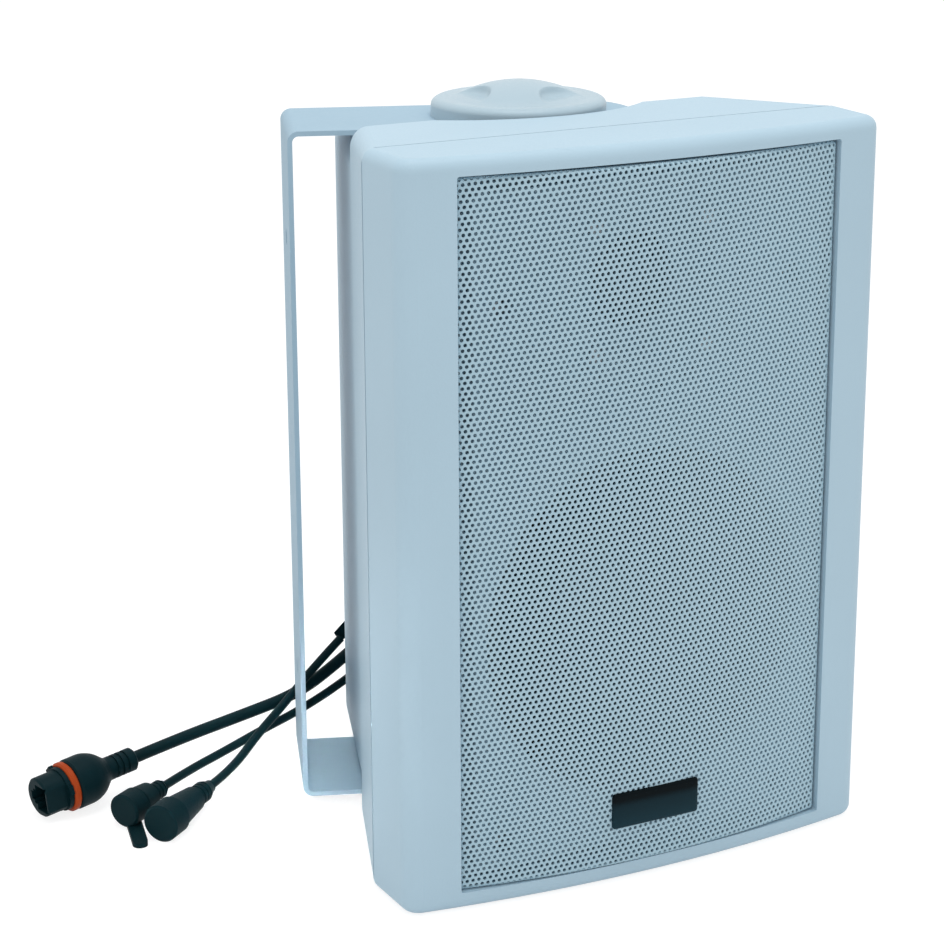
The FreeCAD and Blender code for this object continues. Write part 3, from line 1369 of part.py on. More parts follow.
def build():
    """Make every piece and write it out."""
    os.makedirs("parts", exist_ok=True)
    insert = pivot_insert()
    washer = friction_washer()
    pieces = {
        "front_frame": front_frame(),
        "rear_shell": rear_shell(),
        "shell_seal": shell_seal(),
        "grille": grille(),
        "badge_plate": badge_plate(),
        "top_insert": insert,
        "bottom_insert": flipped(insert),
        "top_washer": washer,
        "bottom_washer": flipped(washer),
        "wall_bracket": wall_bracket(),
        "top_knob": top_knob(),
        "knob_stud": knob_stud(),
        "lower_pivot_screw": lower_pivot_screw(),
        "woofer_basket": woofer_basket(),
        "woofer_top_plate": woofer_top_plate(),
        "woofer_magnet": woofer_magnet(),
        "woofer_yoke": woofer_yoke(),
        "voice_coil": voice_coil(),
        "woofer_cone": woofer_cone(),
        "dust_cap": dust_cap(),
        "woofer_surround": woofer_surround(),
        "woofer_spider": woofer_spider(),
        "tweeter_faceplate": tweeter_faceplate(),
        "tweeter_dome": tweeter_dome(),
        "tweeter_magnet": tweeter_magnet(),
        "shell_screws": shell_screws(),
        "woofer_screws": woofer_screws(),
        "tweeter_screws": tweeter_screws(),
        "amplifier_board": amplifier_board(),
        "board_screws": board_screws(),
        "heat_sink": heat_sink(),
        "cord_boot": cord_boot(),
        "ethernet_cord": cord("ethernet_cord", ETHERNET_ROUTE, ETHERNET_D),
        "left_jack_cord": cord("left_jack_cord", LEFT_JACK_ROUTE, JACK_CORD_D),
        "right_jack_cord": cord("right_jack_cord", RIGHT_JACK_ROUTE, JACK_CORD_D),
    }
    nose, way = connector_place(ETHERNET_ROUTE, socket_length())
    pieces["network_socket"] = placed(network_socket(), nose, way)
    pieces["socket_ring"] = placed(socket_ring(), nose, way)
    left_barrel = (LEFT_BARREL_R, LEFT_BARREL_END_R, LEFT_BARREL_LENGTH)
    nose, way = connector_place(LEFT_JACK_ROUTE, LEFT_JACK_LENGTH)
    jack = jack_body(LEFT_CAP_R, LEFT_CAP_LENGTH, left_barrel, LEFT_NECK_R, LEFT_JACK_LENGTH)
    pieces["left_jack"] = placed(jack, nose, way)
    cap = placed(jack_cap(LEFT_CAP_R, LEFT_CAP_LENGTH), nose, way).fuse(cap_strap())
    pieces["left_jack_cap"] = cap.cut(placed(cap_hollow(LEFT_CAP_R, LEFT_CAP_LENGTH), nose, way))
    right_barrel = (RIGHT_BARREL_R, RIGHT_BARREL_END_R, RIGHT_BARREL_LENGTH)
    nose, way = connector_place(RIGHT_JACK_ROUTE, RIGHT_JACK_LENGTH)
    jack = jack_body(RIGHT_CAP_R, RIGHT_CAP_LENGTH, right_barrel, RIGHT_NECK_R, RIGHT_JACK_LENGTH)
    pieces["right_jack"] = placed(jack, nose, way)
    cap = placed(jack_cap(RIGHT_CAP_R, RIGHT_CAP_LENGTH), nose, way)
    pieces["right_jack_cap"] = cap.cut(placed(cap_hollow(RIGHT_CAP_R, RIGHT_CAP_LENGTH), nose, way))
    for name, shape in pieces.items():
        shape.exportStep("parts/" + name + ".step")
        bounds = shape.BoundBox
        extent = (bounds.XMin, bounds.XMax, bounds.YMin, bounds.YMax, bounds.ZMin, bounds.ZMax)
        print(
            name, shape.isValid(), len(shape.Solids), round(shape.Volume, 1),
            [round(v, 1) for v in extent],
        )


build()
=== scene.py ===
"""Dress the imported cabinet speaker: perforated grille, knob, badge, cords, finishes and studio."""

import json
import math

import bpy
import numpy as np
from bpy.props import (
    FloatProperty,
    FloatVectorProperty,
    IntProperty,
    PointerProperty,
)
from mathutils import Matrix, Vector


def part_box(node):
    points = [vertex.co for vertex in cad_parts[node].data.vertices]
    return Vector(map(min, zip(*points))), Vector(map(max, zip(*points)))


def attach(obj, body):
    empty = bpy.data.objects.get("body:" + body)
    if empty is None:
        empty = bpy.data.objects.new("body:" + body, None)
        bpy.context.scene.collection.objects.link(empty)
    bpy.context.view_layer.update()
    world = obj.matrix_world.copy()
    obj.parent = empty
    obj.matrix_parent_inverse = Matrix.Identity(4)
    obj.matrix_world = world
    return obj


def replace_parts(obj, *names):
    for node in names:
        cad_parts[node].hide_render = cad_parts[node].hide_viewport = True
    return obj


bl_info = {
    "name": "Cabinet speaker",
    "version": (1, 0, 0),
    "blender": (4, 5, 0),
    "location": "View3D > Sidebar > Speaker",
    "description": "Dresses the packed cabinet speaker with its visible pieces and finishes",
    "category": "Object",
}

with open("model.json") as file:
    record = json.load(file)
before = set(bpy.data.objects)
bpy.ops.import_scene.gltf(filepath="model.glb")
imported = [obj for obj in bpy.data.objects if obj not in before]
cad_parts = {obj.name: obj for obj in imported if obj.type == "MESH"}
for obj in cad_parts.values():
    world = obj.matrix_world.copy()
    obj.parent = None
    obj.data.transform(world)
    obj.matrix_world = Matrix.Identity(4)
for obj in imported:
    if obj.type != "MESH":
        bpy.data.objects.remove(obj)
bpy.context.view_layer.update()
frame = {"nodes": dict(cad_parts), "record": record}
MM = 0.001
TURN = 2 * math.pi

# Routes of the cords to the connectors, from the boot or, on the right, from the sleeve, and their free
# lengths, in metres.
ETHERNET_ROUTE = (
    (-0.0360, 0.1480, 0.0434),
    (-0.0530, 0.1405, 0.0370),
    (-0.0760, 0.1358, 0.0272),
    (-0.1040, 0.1346, 0.0224),
    (-0.1336, 0.1338, 0.0175),
    (-0.1579, 0.1283, 0.0149),
)
LEFT_JACK_ROUTE = (
    (-0.0360, 0.1470, 0.0310),
    (-0.0530, 0.1398, 0.0262),
    (-0.0760, 0.1346, 0.0194),
    (-0.0970, 0.1286, 0.0162),
    (-0.1170, 0.1226, 0.0124),
    (-0.1362, 0.1168, 0.0094),
    (-0.1524, 0.1064, 0.0089),
)
RIGHT_JACK_ROUTE = (
    (-0.0524, 0.1398, 0.0484),
    (-0.0680, 0.1368, 0.0374),
    (-0.0860, 0.1290, 0.0260),
    (-0.1034, 0.1174, 0.0196),
    (-0.1196, 0.1084, 0.0096),
    (-0.1346, 0.0968, 0.0092),
)
ETHERNET_LENGTH = 0.127
LEFT_JACK_LENGTH = 0.1249
RIGHT_JACK_LENGTH = 0.1015


def linear(code):
    """Linear RGBA of an sRGB hex code."""
    raw = np.array([int(code[k:k + 2], 16) for k in (1, 3, 5)]) / 255
    bent = np.where(raw <= 0.04045, raw / 12.92, ((raw + 0.055) / 1.055) ** 2.4)
    return (*(float(v) for v in bent), 1.0)


def length(label, about, millimetres):
    """A length property whose default is given in millimetres."""
    return FloatProperty(
        name=label, description=about, default=millimetres * MM, unit="LENGTH", precision=5,
    )


def angle(label, about, degrees):
    """An angle property whose default is given in degrees."""
    return FloatProperty(name=label, description=about, default=math.radians(degrees), subtype="ANGLE")


def power(label, about, watts):
    """A power property for a lamp."""
    return FloatProperty(name=label, description=about, default=watts, unit="POWER")


def colour(label, about, code):
    """A colour property whose default is an sRGB hex code."""
    return FloatVectorProperty(
        name=label, description=about, default=linear(code), size=4, subtype="COLOR", min=0, max=1,
    )


class SpeakerColours(bpy.types.PropertyGroup):
    """Colours of the finishes."""

    cabinet: colour("Cabinet", "Moulded ABS of the two cabinet halves", "#B2CCDB")
    bracket: colour("Bracket", "Powder coat of the bracket", "#A6C0D0")
    grille: colour("Grille", "Powder coat of the grille", "#ABC8D6")
    knob: colour("Knob", "Moulded plastic of the knob", "#ADC2CD")
    badge: colour("Badge", "Film under the doming resin", "#162F38")
    cord: colour("Cord", "Jacket of the cords", "#092226")
    ring: colour("Ring", "Silicone of the sealing ring", "#AC4620")


class GrilleSizes(bpy.types.PropertyGroup):
    """Sizes of the perforated sheet."""

    sag: length("Bow", "How far the sides lie behind the middle", 9.1)
    sheet: length("Sheet", "Thickness of the sheet", 0.8)
    fold: length("Fold", "Outer radius of the folded edge", 1.6)
    pitch: length("Pitch", "Distance between neighbouring holes", 2.39)
    hole: length("Hole", "Diameter of the holes", 1.5)
    tilt: angle("Tilt", "Angle of the rows of holes", 4.0)
    wrap: length("Wrap", "How far the holes run round the fold", 3.6)


class KnobSizes(bpy.types.PropertyGroup):
    """Sizes of the clamping knob."""

    rim: length("Rim", "Height of the upright rim", 4.6)
    rounding: length("Rounding", "Width of the rim's rounded upper edge", 4.0)
    shoulder: length("Shoulder", "Height of the flat shoulder", 7.6)
    dome: length("Dome", "Radius of the ball that the dome is part of", 54.0)
    scoops: IntProperty(name="Scoops", description="Number of finger scoops in the dome", default=3, min=1)
    scoop_place: length("Scoop place", "Distance of the scoops' middles from the axis", 30.0)
    scoop_radius: length("Scoop radius", "Radius of the scoops' walls", 16.0)
    scoop_floor: length("Scoop floor", "Height of the scoops' floors", 8.4)
    scoop_hollow: length("Scoop hollow", "Radius between a scoop's floor and its wall", 3.4)
    scoop_turn: angle("Scoop turn", "Direction of the first scoop from the right towards the back", -64.0)


class CordSizes(bpy.types.PropertyGroup):
    """Sizes of the cords."""

    network: length("Network cord", "Diameter of the network cord", 5.4)
    jack: length("Jack cord", "Diameter of the jack cords", 3.8)


class StageSizes(bpy.types.PropertyGroup):
    """Camera and studio light."""

    eye: FloatVectorProperty(
        name="Eye", description="Place of the camera", default=(-0.50590, -0.87728, 0.46844), unit="LENGTH",
    )
    yaw: angle("Yaw", "Direction of view from +Y towards +X", 27.12)
    pitch: angle("Pitch", "Downward tilt of the view", 16.94)
    roll: angle("Roll", "Roll of the camera", 0.27)
    lens: FloatProperty(
        name="Lens", description="Focal length for the sensor's width", default=99.61, unit="CAMERA",
    )
    ambient: FloatProperty(name="Ambient", description="Strength of the surrounding light", default=0.76)
    overhead: power("Overhead", "Power of the soft overhead light", 7.0)
    key: power("Key", "Power of the soft front light", 3.0)
    fill: power("Fill", "Power of the soft rear light", 1.0)
    beam: power("Beam", "Power of the narrow light on the lower arm", 0.022)


class SpeakerSettings(bpy.types.PropertyGroup):
    """Everything that a user would change."""

    colours: PointerProperty(type=SpeakerColours)
    grille: PointerProperty(type=GrilleSizes)
    knob: PointerProperty(type=KnobSizes)
    cords: PointerProperty(type=CordSizes)
    stage: PointerProperty(type=StageSizes)


def settings():
    """The settings on the scene."""
    return bpy.context.scene.speaker


def node(tree, kind, inputs, **fields):
    """Add a node, set its fields, and fill or link its inputs."""
    made = tree.nodes.new(kind)
    for key, value in fields.items():
        setattr(made, key, value)
    for key, value in inputs.items():
        if isinstance(value, bpy.types.NodeSocket):
            tree.links.new(value, made.inputs[key])
        else:
            made.inputs[key].default_value = value
    return made


def shade(base, share):
    """A colour times a share, with its alpha kept."""
    return (*(c * share for c in base[:3]), 1.0)


def new_material(name):
    """An empty node material with its output."""
    material = bpy.data.materials.new(name)
    material.use_nodes = True
    material.node_tree.nodes.clear()
    output = material.node_tree.nodes.new("ShaderNodeOutputMaterial")
    return material, material.node_tree, output


# Specular levels of satin plastics and coats, of the bracket's softer coat, and of rubber and black finishes.
SATIN = {"Specular IOR Level": 0.25}
SOFT = {"Specular IOR Level": 0.02}
DULL = {"Specular IOR Level": 0.06}
METAL = {"Metallic": 1.0}

# Darkest share and width in millimetres of the broad colour drift, and swing of the roughness.
DRIFT = 0.94
DRIFT_MM = 45.0
ROUGH_SWING = 0.06


def moulded(name, base, rough, grain_mm, relief_mm, **sockets):
    """A moulded or coated surface: broad colour drift, fine grain in bump and in roughness."""
    material, tree, output = new_material(name)
    place = node(tree, "ShaderNodeTexCoord", {}).outputs["Object"]
    broad = node(tree, "ShaderNodeTexNoise", {"Vector": place, "Scale": 1000 / DRIFT_MM, "Detail": 3.0})
    grain = node(tree, "ShaderNodeTexNoise", {"Vector": place, "Scale": 1000 / grain_mm, "Detail": 2.0})
    tint = node(
        tree, "ShaderNodeMix", {0: broad.outputs["Fac"], 6: shade(base, DRIFT), 7: base}, data_type="RGBA",
    )
    gloss = node(tree, "ShaderNodeMapRange", {
        "Value": grain.outputs["Fac"], "From Min": 0.3, "From Max": 0.7,
        "To Min": rough - ROUGH_SWING, "To Max": rough + ROUGH_SWING,
    })
    bump = node(tree, "ShaderNodeBump", {
        "Height": grain.outputs["Fac"], "Strength": 1.0, "Distance": relief_mm * MM,
    })
    shader = node(tree, "ShaderNodeBsdfPrincipled", {
        "Base Color": tint.outputs[2], "Roughness": gloss.outputs["Result"],
        "Normal": bump.outputs["Normal"], **sockets,
    })
    tree.links.new(shader.outputs["BSDF"], output.inputs["Surface"])
    return material


# Where the badge's painted dark reflection along the upper edge starts and is full, as shares of its height
# below the upper edge.
PAINTED_REFLECTION_START = 0.42
PAINTED_REFLECTION_FULL = 0.16

# Shares of the badge's colour in that band, just below it and at the lower edge: a painted reflection, near
# black above and lighter below.
PAINTED_DARK_REFLECTION = 0.15
PAINTED_MIDDLE_REFLECTION = 0.8
PAINTED_FOOT_REFLECTION = 1.25

# Size of the badge's dust in millimetres, drawn coarser than real dust so that it shows, and its roughness.
DUST_MM = 1.2
DUST_ROUGH = 0.12


def resin_with_painted_reflection(name, base, rough, low, high):
    """Clear resin over a film, with painted reflection: the colour is painted near black under the upper edge
    and lighter than its own towards the lower edge, with fine dust on top. Low and high are the heights of
    the plate's edges."""
    material, tree, output = new_material(name)
    place = node(tree, "ShaderNodeTexCoord", {}).outputs["Object"]
    height = node(tree, "ShaderNodeSeparateXYZ", {0: place}).outputs["Z"]
    start = high - PAINTED_REFLECTION_START * (high - low)
    full = high - PAINTED_REFLECTION_FULL * (high - low)
    dark_reflection_fade = node(tree, "ShaderNodeMapRange", {
        "Value": height, "From Min": start, "From Max": full,
    }, interpolation_type="SMOOTHSTEP")
    lower = node(tree, "ShaderNodeMapRange", {
        "Value": height, "From Min": low, "From Max": start, "To Min": 1.0, "To Max": 0.0,
    })
    # Painted reflection: the film's colour is painted lighter towards the lower edge and near black in the
    # band under the upper edge.
    body = node(tree, "ShaderNodeMix", {
        0: lower.outputs["Result"], 6: shade(base, PAINTED_MIDDLE_REFLECTION), 7: shade(base, PAINTED_FOOT_REFLECTION),
    }, data_type="RGBA")
    film = node(tree, "ShaderNodeMix", {
        0: dark_reflection_fade.outputs["Result"], 6: body.outputs[2], 7: shade(base, PAINTED_DARK_REFLECTION),
    }, data_type="RGBA")
    dust = node(tree, "ShaderNodeTexNoise", {"Vector": place, "Scale": 1000 / DUST_MM, "Detail": 4.0})
    gloss = node(tree, "ShaderNodeMapRange", {
        "Value": dust.outputs["Fac"], "From Min": 0.5, "From Max": 0.75,
        "To Min": rough, "To Max": rough + DUST_ROUGH,
    })
    shader = node(tree, "ShaderNodeBsdfPrincipled", {
        "Base Color": film.outputs[2], "Roughness": gloss.outputs["Result"], **DULL,
    })
    tree.links.new(shader.outputs["BSDF"], output.inputs["Surface"])
    return material


def finishes():
    """One material for each slot of the record, named for the real finish. A row gives the name, colour,
    roughness, grain and relief in millimetres, and further sockets. The grain is drawn coarser than the
    real texture where that would be too fine to show."""
    tone = settings().colours
    white = tuple(tone.cabinet)
    rows = {
        # Spark-textured ABS: satin, with a fine even grain that softens the light.
        "cabinet_plastic": ("ABS moulded spark texture", white, 0.48, 0.9, 0.03, SATIN),
        # Polyester powder coat: matt and even, with a very faint orange peel.
        "bracket_paint": ("Powder coat on steel", tuple(tone.bracket), 0.5, 2.4, 0.003, SOFT),
        # Polyester powder coat on a punched sheet: satin, with a fine orange peel.
        "grille_paint": ("Powder coat on perforated steel", tuple(tone.grille), 0.45, 1.8, 0.02, SATIN),
        # Smooth polypropylene: a little glossier than the cabinet.
        "knob_plastic": ("Polypropylene moulded smooth", tuple(tone.knob), 0.36, 1.4, 0.015, SATIN),
        # Acetal: waxy and off-white.
        "washer_plastic": ("Acetal washer moulded", linear("#D6D5CC"), 0.4, 1.0, 0.01, {}),
        # Silicone: a dull grey line in the seam.
        "seal_rubber": ("Silicone seal extruded grey", linear("#768A92"), 0.75, 0.7, 0.03, DULL),
        # Butyl rubber: dark, dull and even.
        "surround_rubber": ("Butyl rubber roll moulded", linear("#36505F"), 0.6, 0.8, 0.02, DULL),
        # Thermoplastic rubber: near black, with a faint sheen.
        "black_rubber": ("Thermoplastic rubber moulded", linear("#0A2328"), 0.55, 0.8, 0.03, DULL),
        # Flexible PVC: dull black with long soft highlights.
        "cord_jacket": ("PVC cord jacket extruded", tuple(tone.cord), 0.42, 1.1, 0.012, DULL),
        # Nylon: near black and matt.
        "connector_plastic": ("Nylon moulded black", linear("#0A2429"), 0.5, 0.9, 0.03, DULL),
        # Silicone: a strong colour with a soft sheen.
        "orange_rubber": ("Silicone ring moulded", tuple(tone.ring), 0.4, 0.9, 0.012, DULL),
        # Turned brass: yellow metal with a tight highlight.
        "insert_brass": ("Brass turned", linear("#B8935A"), 0.3, 0.5, 0.01, METAL),
        # Zinc plate: pale grey metal with a broad highlight.
        "plated_steel": ("Zinc plated steel", linear("#CFD2D5"), 0.42, 0.6, 0.01, METAL),
        # Extruded aluminium: pale metal with a soft highlight.
        "sink_aluminium": ("Aluminium extruded", linear("#B9BCC0"), 0.38, 0.6, 0.01, METAL),
        # Copper clad wire: reddish metal.
        "coil_metal": ("Copper clad coil wound", linear("#B07A4A"), 0.35, 0.4, 0.02, METAL),
        # Sintered ferrite: charcoal and dull.
        "magnet_ferrite": ("Ferrite sintered", linear("#26282A"), 0.7, 0.6, 0.03, {}),
        # Sprayed paint: dark blue-grey, low gloss.
        "basket_paint": ("Dark paint on pressed steel", linear("#4A606C"), 0.45, 1.5, 0.02, {}),
        # Black oxide: dark metal with small glints.
        "black_screw": ("Black oxide steel", linear("#121314"), 0.4, 0.4, 0.01, {"Metallic": 0.6}),
        # Filled polypropylene: dark blue-grey and matt.
        "cone_polypropylene": ("Polypropylene cone moulded matt", linear("#34495A"), 0.55, 1.2, 0.05, {}),
        # Resin-stiffened cotton: tan, rough and without gloss.
        "spider_cloth": ("Cotton spider stiffened", linear("#A88C53"), 0.85, 0.5, 0.08, {}),
        # ABS in the cabinet's colour: satin.
        "tweeter_plastic": ("ABS moulded satin", white, 0.48, 0.9, 0.03, SATIN),
        # Coated silk: dark blue-grey with a soft sheen.
        "dome_film": ("Silk dome coated", linear("#455D6B"), 0.45, 0.4, 0.02, {}),
        # Solder lacquer over glass epoxy: green with a smooth sheen.
        "board_laminate": ("Glass epoxy board lacquered", linear("#1C5A38"), 0.35, 2.5, 0.01, {}),
    }
    made = {}
    for slot, (name, base, rough, grain, relief, sockets) in rows.items():
        made[slot] = moulded(name, base, rough, grain, relief, **sockets)
    # Doming resin over a dark film, with painted reflection: wet gloss, painted near black under the upper
    # edge and painted lighter towards the lower edge, with faint dust.
    edges = [corner[2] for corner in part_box("badge_plate")]
    made["badge_gloss"] = resin_with_painted_reflection("Doming resin with painted reflection", tuple(tone.badge), 0.06, *edges)
    return made


# Material names by slot, filled by the finishes step.
SLOT_NAMES = {}


def slot_material(slot):
    """The material of a slot."""
    return bpy.data.materials[SLOT_NAMES[slot]]


# Angles in degrees past which an edge is sharp: on plain pieces, on the punched sheet and on soft mouldings.
PLAIN_SMOOTH = 35.0
SHEET_SMOOTH = 50.0
SOFT_SMOOTH = 60.0


def mesh_piece(name, vertices, faces, slot, body, smooth_degrees=PLAIN_SMOOTH):
    """A mesh object at the origin from whole arrays, with its finish and its body."""
    mesh = bpy.data.meshes.new(name)
    mesh.from_pydata(vertices.tolist(), [], faces)
    mesh.validate()
    mesh.shade_smooth()
    mesh.set_sharp_from_angle(angle=math.radians(smooth_degrees))
    mesh.update()
    return finish_piece(bpy.data.objects.new(name, mesh), slot, body)


def finish_piece(piece, slot, body):
    """Link a piece, give it its finish and let it ride on its body."""
    bpy.context.scene.collection.objects.link(piece)
    piece.data.materials.append(slot_material(slot))
    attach(piece, body)
    return piece


def loft_faces(loops, points, close_start, close_end):
    """Quads between successive closed loops of equal count, with end caps where asked."""
    ring = np.arange(points)
    after = np.roll(ring, -1)
    start = np.arange(loops - 1)[:, None] * points
    quads = np.stack([start + ring, start + after, start + points + after, start + points + ring], -1)
    faces = quads.reshape(-1, 4).tolist()
    if close_start:
        faces.append(ring[::-1].tolist())
    if close_end:
        faces.append((ring + (loops - 1) * points).tolist())
    return faces


def rounded_corners(steps):
    """Directions round the four corners of an outline in turn, and the signs of each corner's two places."""
    quarter = np.linspace(0, TURN / 4, steps)
    turns = np.concatenate([quarter + TURN / 4 * k for k in range(4)])
    across = np.repeat([1, -1, -1, 1], steps)
    upward = np.repeat([1, 1, -1, -1], steps)
    return turns, across, upward


class Sheet:
    """The bowed and folded surface of the grille, from sheet coordinates to space."""

    def __init__(self):
        """Radius of the bow from its chord and sag, and the fold lines one fold radius inside the solid."""
        sizes = settings().grille
        low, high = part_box("grille")
        self.low = np.array(low)
        self.high = np.array(high)
        half = (self.high[0] - self.low[0]) / 2
        self.bow = (half ** 2 + sizes.sag ** 2) / (2 * sizes.sag)
        self.fold = sizes.fold
        self.edge_angle = math.asin((half - self.fold) / (self.bow - self.fold))
        self.side = self.bow * self.edge_angle
        self.tall = (self.high[2] - self.low[2]) / 2 - self.fold
        self.middle = (self.high[2] + self.low[2]) / 2

    def place(self, s, t, depth):
        """Points for arc length s and height t: the bowed face inside the fold lines, and beyond them an
        arc of the fold radius that runs on straight back. Depth is measured in from the outer face."""
        s_in = np.clip(s, -self.side, self.side)
        t_in = np.clip(t, -self.tall, self.tall)
        over_s = s - s_in
        over_t = t - t_in
        over = np.hypot(over_s, over_t)
        safe = np.where(over > 0, over, 1.0)
        along_s = over_s / safe
        along_t = over_t / safe
        a = s_in / self.bow
        limit = math.pi / 2 - self.edge_angle * along_s ** 2
        turn = np.minimum(over / self.fold, limit)
        straight = np.maximum(over - self.fold * limit, 0.0)
        radius = self.fold - depth
        out = radius * np.sin(turn) + straight * np.cos(limit)
        back = depth + radius * (1 - np.cos(turn)) + straight * np.sin(limit)
        across = out * along_s
        x = self.bow * np.sin(a) + across * np.cos(a) - back * np.sin(a)
        y = self.low[1] + self.bow * (1 - np.cos(a)) + across * np.sin(a) + back * np.cos(a)
        z = self.middle + t_in + out * along_t
        return np.stack([x, y, z], -1)


def hole_lattice(sheet):
    """Sites of a hexagonal lattice of holes in sheet coordinates, turned by the tilt, and a table from
    lattice steps to site numbers, with -1 outside the sheet."""
    sizes = settings().grille
    reach_s = sheet.side + sizes.wrap
    reach_t = sheet.tall + sizes.wrap
    count = int(2 * (reach_s + reach_t) / sizes.pitch)
    i, j = np.meshgrid(np.arange(-count, count), np.arange(-count, count), indexing="ij")
    tilt = sizes.tilt
    s = sizes.pitch * (i * math.cos(tilt) + j * math.cos(tilt + TURN / 6))
    t = sizes.pitch * (i * math.sin(tilt) + j * math.sin(tilt + TURN / 6))
    inside = (np.abs(s) <= reach_s) & (np.abs(t) <= reach_t)
    table = np.full(i.shape, -1)
    table[inside] = np.arange(inside.sum())
    return s[inside], t[inside], table


# Corners of each punched hole.
CORNERS = 12


def web_faces(table):
    """Faces of the web between the holes. A hole's corners lie at 15 degrees from the row and every 30
    degrees on. Each two neighbours are joined by a quad between facing sides, and each three by a hexagon."""
    right = np.roll(table, (-1, 0), (0, 1))
    upper = np.roll(table, (0, -1), (0, 1))
    left = np.roll(table, (1, -1), (0, 1))
    here = table * CORNERS
    quads = []
    for side, other in enumerate((right, upper, left)):
        good = (table >= 0) & (other >= 0)
        a = here[good]
        b = other[good] * CORNERS
        k = 2 * side
        quads.append(np.stack([a + (k - 1) % CORNERS, b + k + 6, b + k + 5, a + k], -1))
    hexagons = []
    for second, third, (a, b, c) in ((right, upper, (0, 4, 8)), (upper, left, (2, 6, 10))):
        good = (table >= 0) & (second >= 0) & (third >= 0)
        p = here[good] + a
        q = second[good] * CORNERS + b
        r = third[good] * CORNERS + c
        hexagons.append(np.stack([p + 1, p, q + 1, q, r + 1, r], -1))
    return np.concatenate(quads), np.concatenate(hexagons)


def edge_walls(faces, total):
    """Quads from the front to the back sheet along every edge that only one face uses."""
    ends = np.concatenate([
        np.stack([f, np.roll(f, -1, axis=1)], -1).reshape(-1, 2) for f in faces
    ])
    key = np.sort(ends, axis=1)
    _, first, uses = np.unique(key, axis=0, return_index=True, return_counts=True)
    rim = ends[first[uses == 1]]
    return np.stack([rim[:, 1], rim[:, 0], rim[:, 0] + total, rim[:, 1] + total], -1)


def sheet_mesh(name, front, back, webs):
    """A closed perforated sheet from its front and back points and its web faces."""
    used = np.unique(np.concatenate([web.ravel() for web in webs]))
    renumber = np.full(len(front), -1)
    renumber[used] = np.arange(len(used))
    webs = [renumber[web] for web in webs]
    total = len(used)
    points = np.concatenate([front[used], back[used]])
    faces = edge_walls(webs, total).tolist()
    for web in webs:
        faces += web.tolist() + (web[:, ::-1] + total).tolist()
    return mesh_piece(name, points, faces, "grille_paint", "cabinet", SHEET_SMOOTH)


# Points round a corner and along a side of the grille's plain edge. The edge stands proud of the sheet's two
# faces, so that it covers the ends of the web, and stops short of the baffle.
EDGE_CORNER_POINTS = 24
EDGE_SIDE_POINTS = 40
EDGE_PROUD = 0.05 * MM
EDGE_SHORT = 0.1 * MM


def fold_band(sheet):
    """The plain edge of the sheet inside the recess: its outline, a rectangle of fold lines set out by the
    arc of the fold, carried straight back to the baffle with the sheet's thickness."""
    turns, across, upward = rounded_corners(EDGE_CORNER_POINTS)
    corner_s = across * sheet.side
    corner_t = upward * sheet.tall
    step_s = np.roll(corner_s, -1) - corner_s
    step_t = np.roll(corner_t, -1) - corner_t
    counts = np.where(np.hypot(step_s, step_t) > sheet.fold, EDGE_SIDE_POINTS, 1)
    k = np.repeat(np.arange(len(turns)), counts)
    share = (np.arange(len(k)) - (np.cumsum(counts) - counts)[k]) / counts[k]
    arc = sheet.fold * TURN / 4
    s = corner_s[k] + share * step_s[k] + arc * np.cos(turns[k])
    t = corner_t[k] + share * step_t[k] + arc * np.sin(turns[k])
    outer = sheet.place(s, t, -EDGE_PROUD)
    inner = sheet.place(s, t, settings().grille.sheet + EDGE_PROUD)
    outer_end = outer.copy()
    inner_end = inner.copy()
    outer_end[:, 1] = sheet.high[1] - EDGE_SHORT
    inner_end[:, 1] = sheet.high[1] - EDGE_SHORT
    loops = (inner, outer, outer_end, inner_end)
    faces = loft_faces(len(loops), len(k), False, False)
    ring = np.arange(len(k))
    after = np.roll(ring, -1)
    last = (len(loops) - 1) * len(k)
    faces += np.stack([last + ring, last + after, after, ring], -1).tolist()
    return mesh_piece("grille_return", np.concatenate(loops), faces, "grille_paint", "cabinet")


class SPEAKER_OT_finishes(bpy.types.Operator):
    """Make the finishes and give every solid its own"""

    bl_idname = "speaker.finishes"
    bl_label = "Finishes"

    def execute(self, context):
        made = finishes()
        for slot, material in made.items():
            SLOT_NAMES[slot] = material.name
        for part in frame["record"]["subparts"]:
            solid = frame["nodes"][part["node"]]
            for holder in solid.material_slots:
                holder.material = made[part["material_slot"]]
        return {"FINISHED"}


class SPEAKER_OT_grille(bpy.types.Operator):
    """Build the bowed perforated sheet and its folded edge"""

    bl_idname = "speaker.grille"
    bl_label = "Grille"

    def execute(self, context):
        sizes = settings().grille
        sheet = Sheet()
        s, t, table = hole_lattice(sheet)
        # Every hole is a ring of corners round its site, on the front and on the back of the sheet.
        spokes = sizes.tilt + TURN / CORNERS * (np.arange(CORNERS) + 0.5)
        s = (s[:, None] + sizes.hole / 2 * np.cos(spokes)).ravel()
        t = (t[:, None] + sizes.hole / 2 * np.sin(spokes)).ravel()
        front = sheet.place(s, t, 0.0)
        back = sheet.place(s, t, sizes.sheet)
        webs = web_faces(table)
        thirds = [np.digitize(t[web].mean(1), (-sheet.tall / 3, sheet.tall / 3)) for web in webs]
        for k, name in enumerate(("grille_sheet_lower", "grille_sheet_middle", "grille_sheet_upper")):
            band = [web[third == k] for web, third in zip(webs, thirds)]
            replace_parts(sheet_mesh(name, front, back, band), "grille")
        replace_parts(fold_band(sheet), "grille")
        return {"FINISHED"}


def smooth_low(a, b, soft):
    """The lower of two heights, blended over a soft band."""
    share = np.clip(0.5 + 0.5 * (b - a) / soft, 0, 1)
    return b + (a - b) * share - soft * share * (1 - share)


